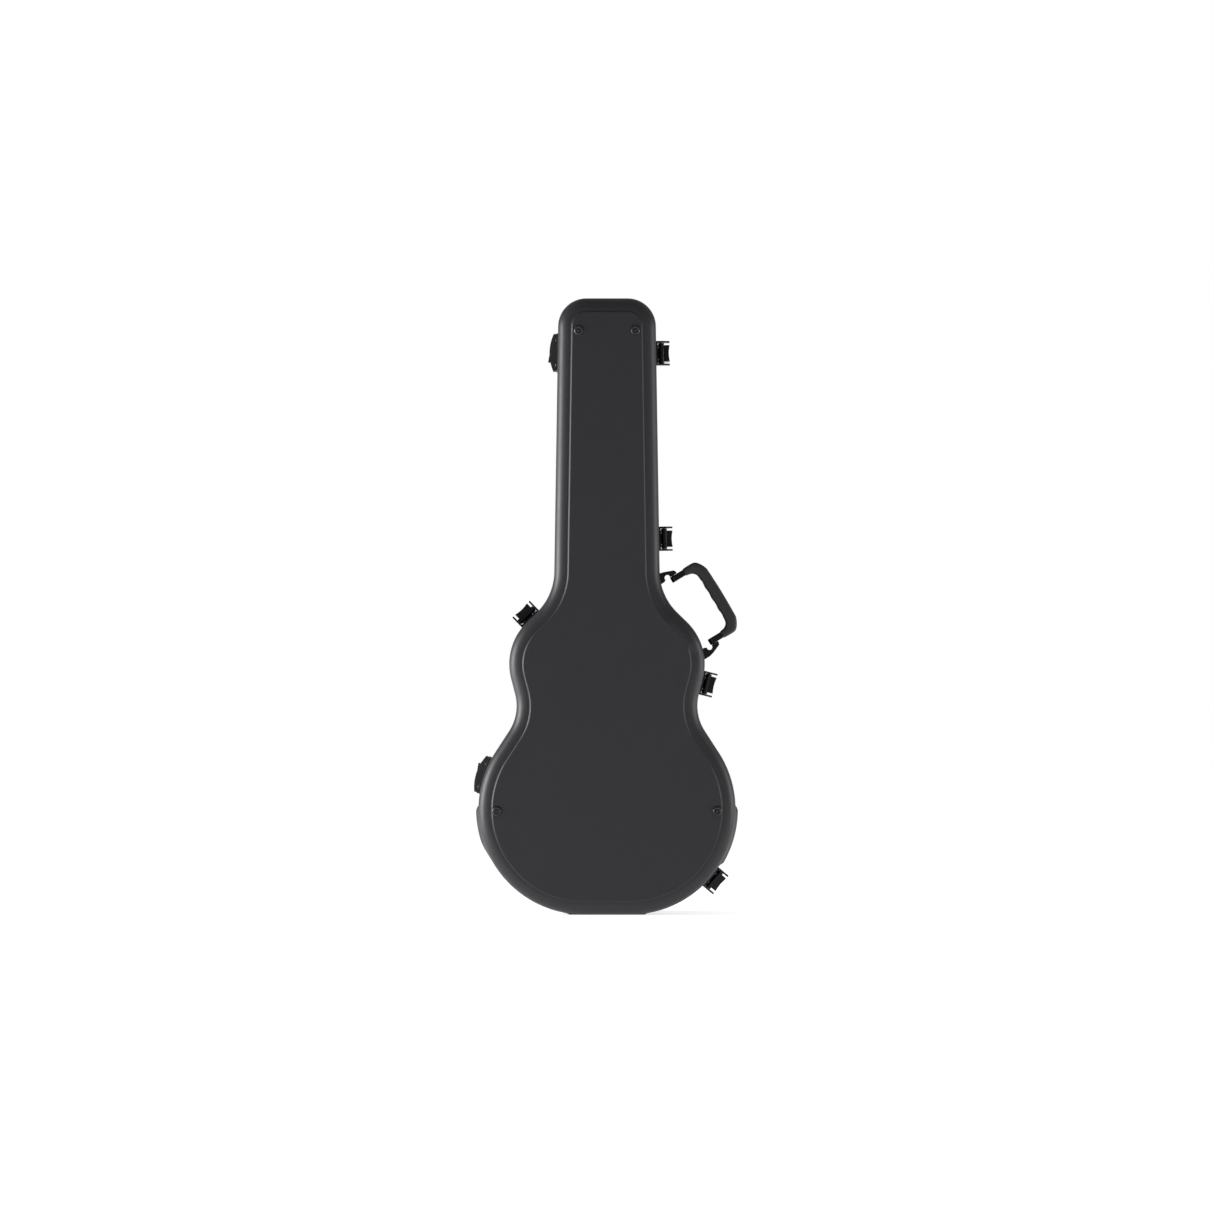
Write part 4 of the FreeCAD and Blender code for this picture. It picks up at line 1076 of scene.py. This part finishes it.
def build_neck_rest():
    """Saddle pad under the neck, swollen by its own filling."""
    source = frame["nodes"]["neck_rest"]
    mesh = source.data.copy()
    work = bmesh.new()
    work.from_mesh(mesh)
    bmesh.ops.remove_doubles(work, verts=work.verts, dist=MERGE_DISTANCE)
    middle = sum((vertex.co for vertex in work.verts), Vector()) / len(work.verts)
    for vertex in work.verts:
        for axis, pull in enumerate(REST_SHRINK):
            vertex.co[axis] += math.copysign(pull, middle[axis] - vertex.co[axis])
    work.to_mesh(mesh)
    work.free()
    pad = bpy.data.objects.new("neck_rest_plush", mesh)
    bpy.context.scene.collection.objects.link(pad)
    remesh = pad.modifiers.new("even mesh", "REMESH")
    remesh.mode = "VOXEL"
    remesh.voxel_size = 0.004
    apply_modifiers(pad)
    swell_by_cloth(pad, REST_SWELL)
    smooth = pad.modifiers.new("soft edges", "SMOOTH")
    smooth.factor, smooth.iterations = 0.6, 8
    finer = pad.modifiers.new("finer", "SUBSURF")
    finer.levels = finer.render_levels = 1
    apply_modifiers(pad)
    pad.data.polygons.foreach_set("use_smooth", [True] * len(pad.data.polygons))
    settle(pad, "base", material("plush"), ("neck_rest",))


def swell_by_cloth(pad, most):
    """Blows the pad up as cloth for a few frames and keeps each point within a distance of its start."""
    before = [vertex.co.copy() for vertex in pad.data.vertices]
    cloth = pad.modifiers.new("cloth", "CLOTH")
    cloth.settings.use_pressure = True
    cloth.settings.uniform_pressure_force = 4
    cloth.settings.effector_weights.gravity = 0
    cloth.settings.quality = 4
    scene = bpy.context.scene
    for number in range(1, 21):
        scene.frame_set(number)
    apply_modifiers(pad)
    scene.frame_set(1)
    for vertex, start in zip(pad.data.vertices, before):
        moved = vertex.co - start
        if moved.length > most:
            vertex.co = start + moved.normalized() * most


class CASE_OT_compartment(bpy.types.Operator):
    """Covers the accessory compartment and its flap with plush and adds the sewn pull tab"""
    bl_idname = "case.compartment"
    bl_label = "Accessory compartment"

    def execute(self, context):
        for node in ("accessory_box", "accessory_flap"):
            refined(node, material("plush"), 0.0010, 3)
        refined("accessory_pin", material("steel"), 0.0002, 2)
        refined("pull_tab", material("tape"), 0.0006, 3)
        return {"FINISHED"}


# ---------------------------------------------------------------- stage
SOFT_BOXES = (
    # name, place, lengths of its sides, setting that holds its power
    ("left soft box", (-2.6, -0.05, 0.60), (0.9, 1.4), "key_power"),
    ("right soft box", (2.7, 0.1, 0.60), (0.8, 1.3), "fill_power"),
)
FLOOR_REACH = 20
SENSOR_WIDTH = 36


def area_light(name, place, aim, lengths, power):
    light = bpy.data.lights.new(name, "AREA")
    light.shape = "RECTANGLE"
    light.size, light.size_y = lengths
    light.energy = power
    lamp = bpy.data.objects.new(name, light)
    bpy.context.scene.collection.objects.link(lamp)
    lamp.location = place
    lamp.rotation_euler = (Vector(aim) - Vector(place)).to_track_quat("-Z", "Y").to_euler()
    return lamp


def studio_world(strength):
    """Even room light that is seen directly as plain white."""
    world = bpy.data.worlds.new("studio")
    world.use_nodes = True
    nodes, links = world.node_tree.nodes, world.node_tree.links
    room, seen = nodes["Background"], nodes.new("ShaderNodeBackground")
    room.inputs["Color"].default_value = seen.inputs["Color"].default_value = (1, 1, 1, 1)
    room.inputs["Strength"].default_value = strength
    path, either = nodes.new("ShaderNodeLightPath"), nodes.new("ShaderNodeMixShader")
    links.new(path.outputs["Is Camera Ray"], either.inputs[0])
    links.new(room.outputs[0], either.inputs[1])
    links.new(seen.outputs[0], either.inputs[2])
    links.new(either.outputs[0], nodes["World Output"].inputs["Surface"])
    return world


class CASE_OT_stage(bpy.types.Operator):
    """Sets the floor, the light and the camera"""
    bl_idname = "case.stage"
    bl_label = "Stage"

    def execute(self, context):
        stage = context.scene.case_stage
        corners = [(FLOOR_REACH * x, FLOOR_REACH * y, 0) for x, y in ((-1, -1), (1, -1), (1, 1), (-1, 1))]
        floor = new_piece("floor", corners, [(0, 1, 2, 3)])
        shader = Shader("pale floor", (0.9, 0.9, 0.9), 0.9, Emission_Strength=0.68)
        shader.put("Emission Color", (1, 1, 1, 1))
        paint(floor, shader.material)
        floor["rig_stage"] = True
        context.scene.world = studio_world(stage.room_light)
        aim = (0, 0, stage.aim_height)
        for name, place, lengths, power in SOFT_BOXES:
            area_light(name, place, aim, lengths, getattr(stage, power))
        camera = bpy.data.cameras.new("camera")
        camera.sensor_width = SENSOR_WIDTH
        camera.lens = camera.sensor_width * stage.camera_distance / stage.view_width
        camera.clip_end = 100
        eye = bpy.data.objects.new("camera", camera)
        context.scene.collection.objects.link(eye)
        eye.location = (0, -stage.camera_distance, stage.aim_height)
        eye.rotation_euler = (math.radians(90), 0, 0)
        context.scene.camera = eye
        context.scene.view_settings.view_transform = "Standard"
        return {"FINISHED"}


class CASE_PT_panel(bpy.types.Panel):
    """Lists the sizes, the colours and the builder's steps"""
    bl_idname = "CASE_PT_panel"
    bl_label = "Guitar Case"
    bl_space_type = "VIEW_3D"
    bl_region_type = "UI"
    bl_category = "Guitar Case"

    def draw(self, context):
        for group, settings in SETTINGS.items():
            box = self.layout.box()
            for setting in settings.__annotations__:
                box.prop(getattr(context.scene, group), setting)
        for operator in OPERATORS:
            self.layout.operator(operator.bl_idname)


OPERATORS = (
    CASE_OT_stage,
    CASE_OT_shells,
    CASE_OT_rims,
    CASE_OT_feet,
    CASE_OT_rivets,
    CASE_OT_latches,
    CASE_OT_hinges,
    CASE_OT_handle,
    CASE_OT_lining,
    CASE_OT_compartment,
)
SETTINGS = {
    "case_outline": CaseOutlineSettings,
    "case_shell": CaseShellSettings,
    "case_stage": CaseStageSettings,
}


def register():
    for name, settings in SETTINGS.items():
        bpy.utils.register_class(settings)
        setattr(bpy.types.Scene, name, bpy.props.PointerProperty(type=settings))
    for operator in OPERATORS:
        bpy.utils.register_class(operator)
    bpy.utils.register_class(CASE_PT_panel)


def unregister():
    bpy.utils.unregister_class(CASE_PT_panel)
    for operator in reversed(OPERATORS):
        bpy.utils.unregister_class(operator)
    for name, settings in SETTINGS.items():
        delattr(bpy.types.Scene, name)
        bpy.utils.unregister_class(settings)


def main():
    register()
    make_materials()
    for operator in OPERATORS:
        group, name = operator.bl_idname.split(".")
        getattr(getattr(bpy.ops, group), name)()
    boxes = {"cad": CAD_BOX, "visual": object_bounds()}
    boxes = {name: [list(corner) for corner in box] for name, box in boxes.items()}


if __name__ == "__main__":
    main()
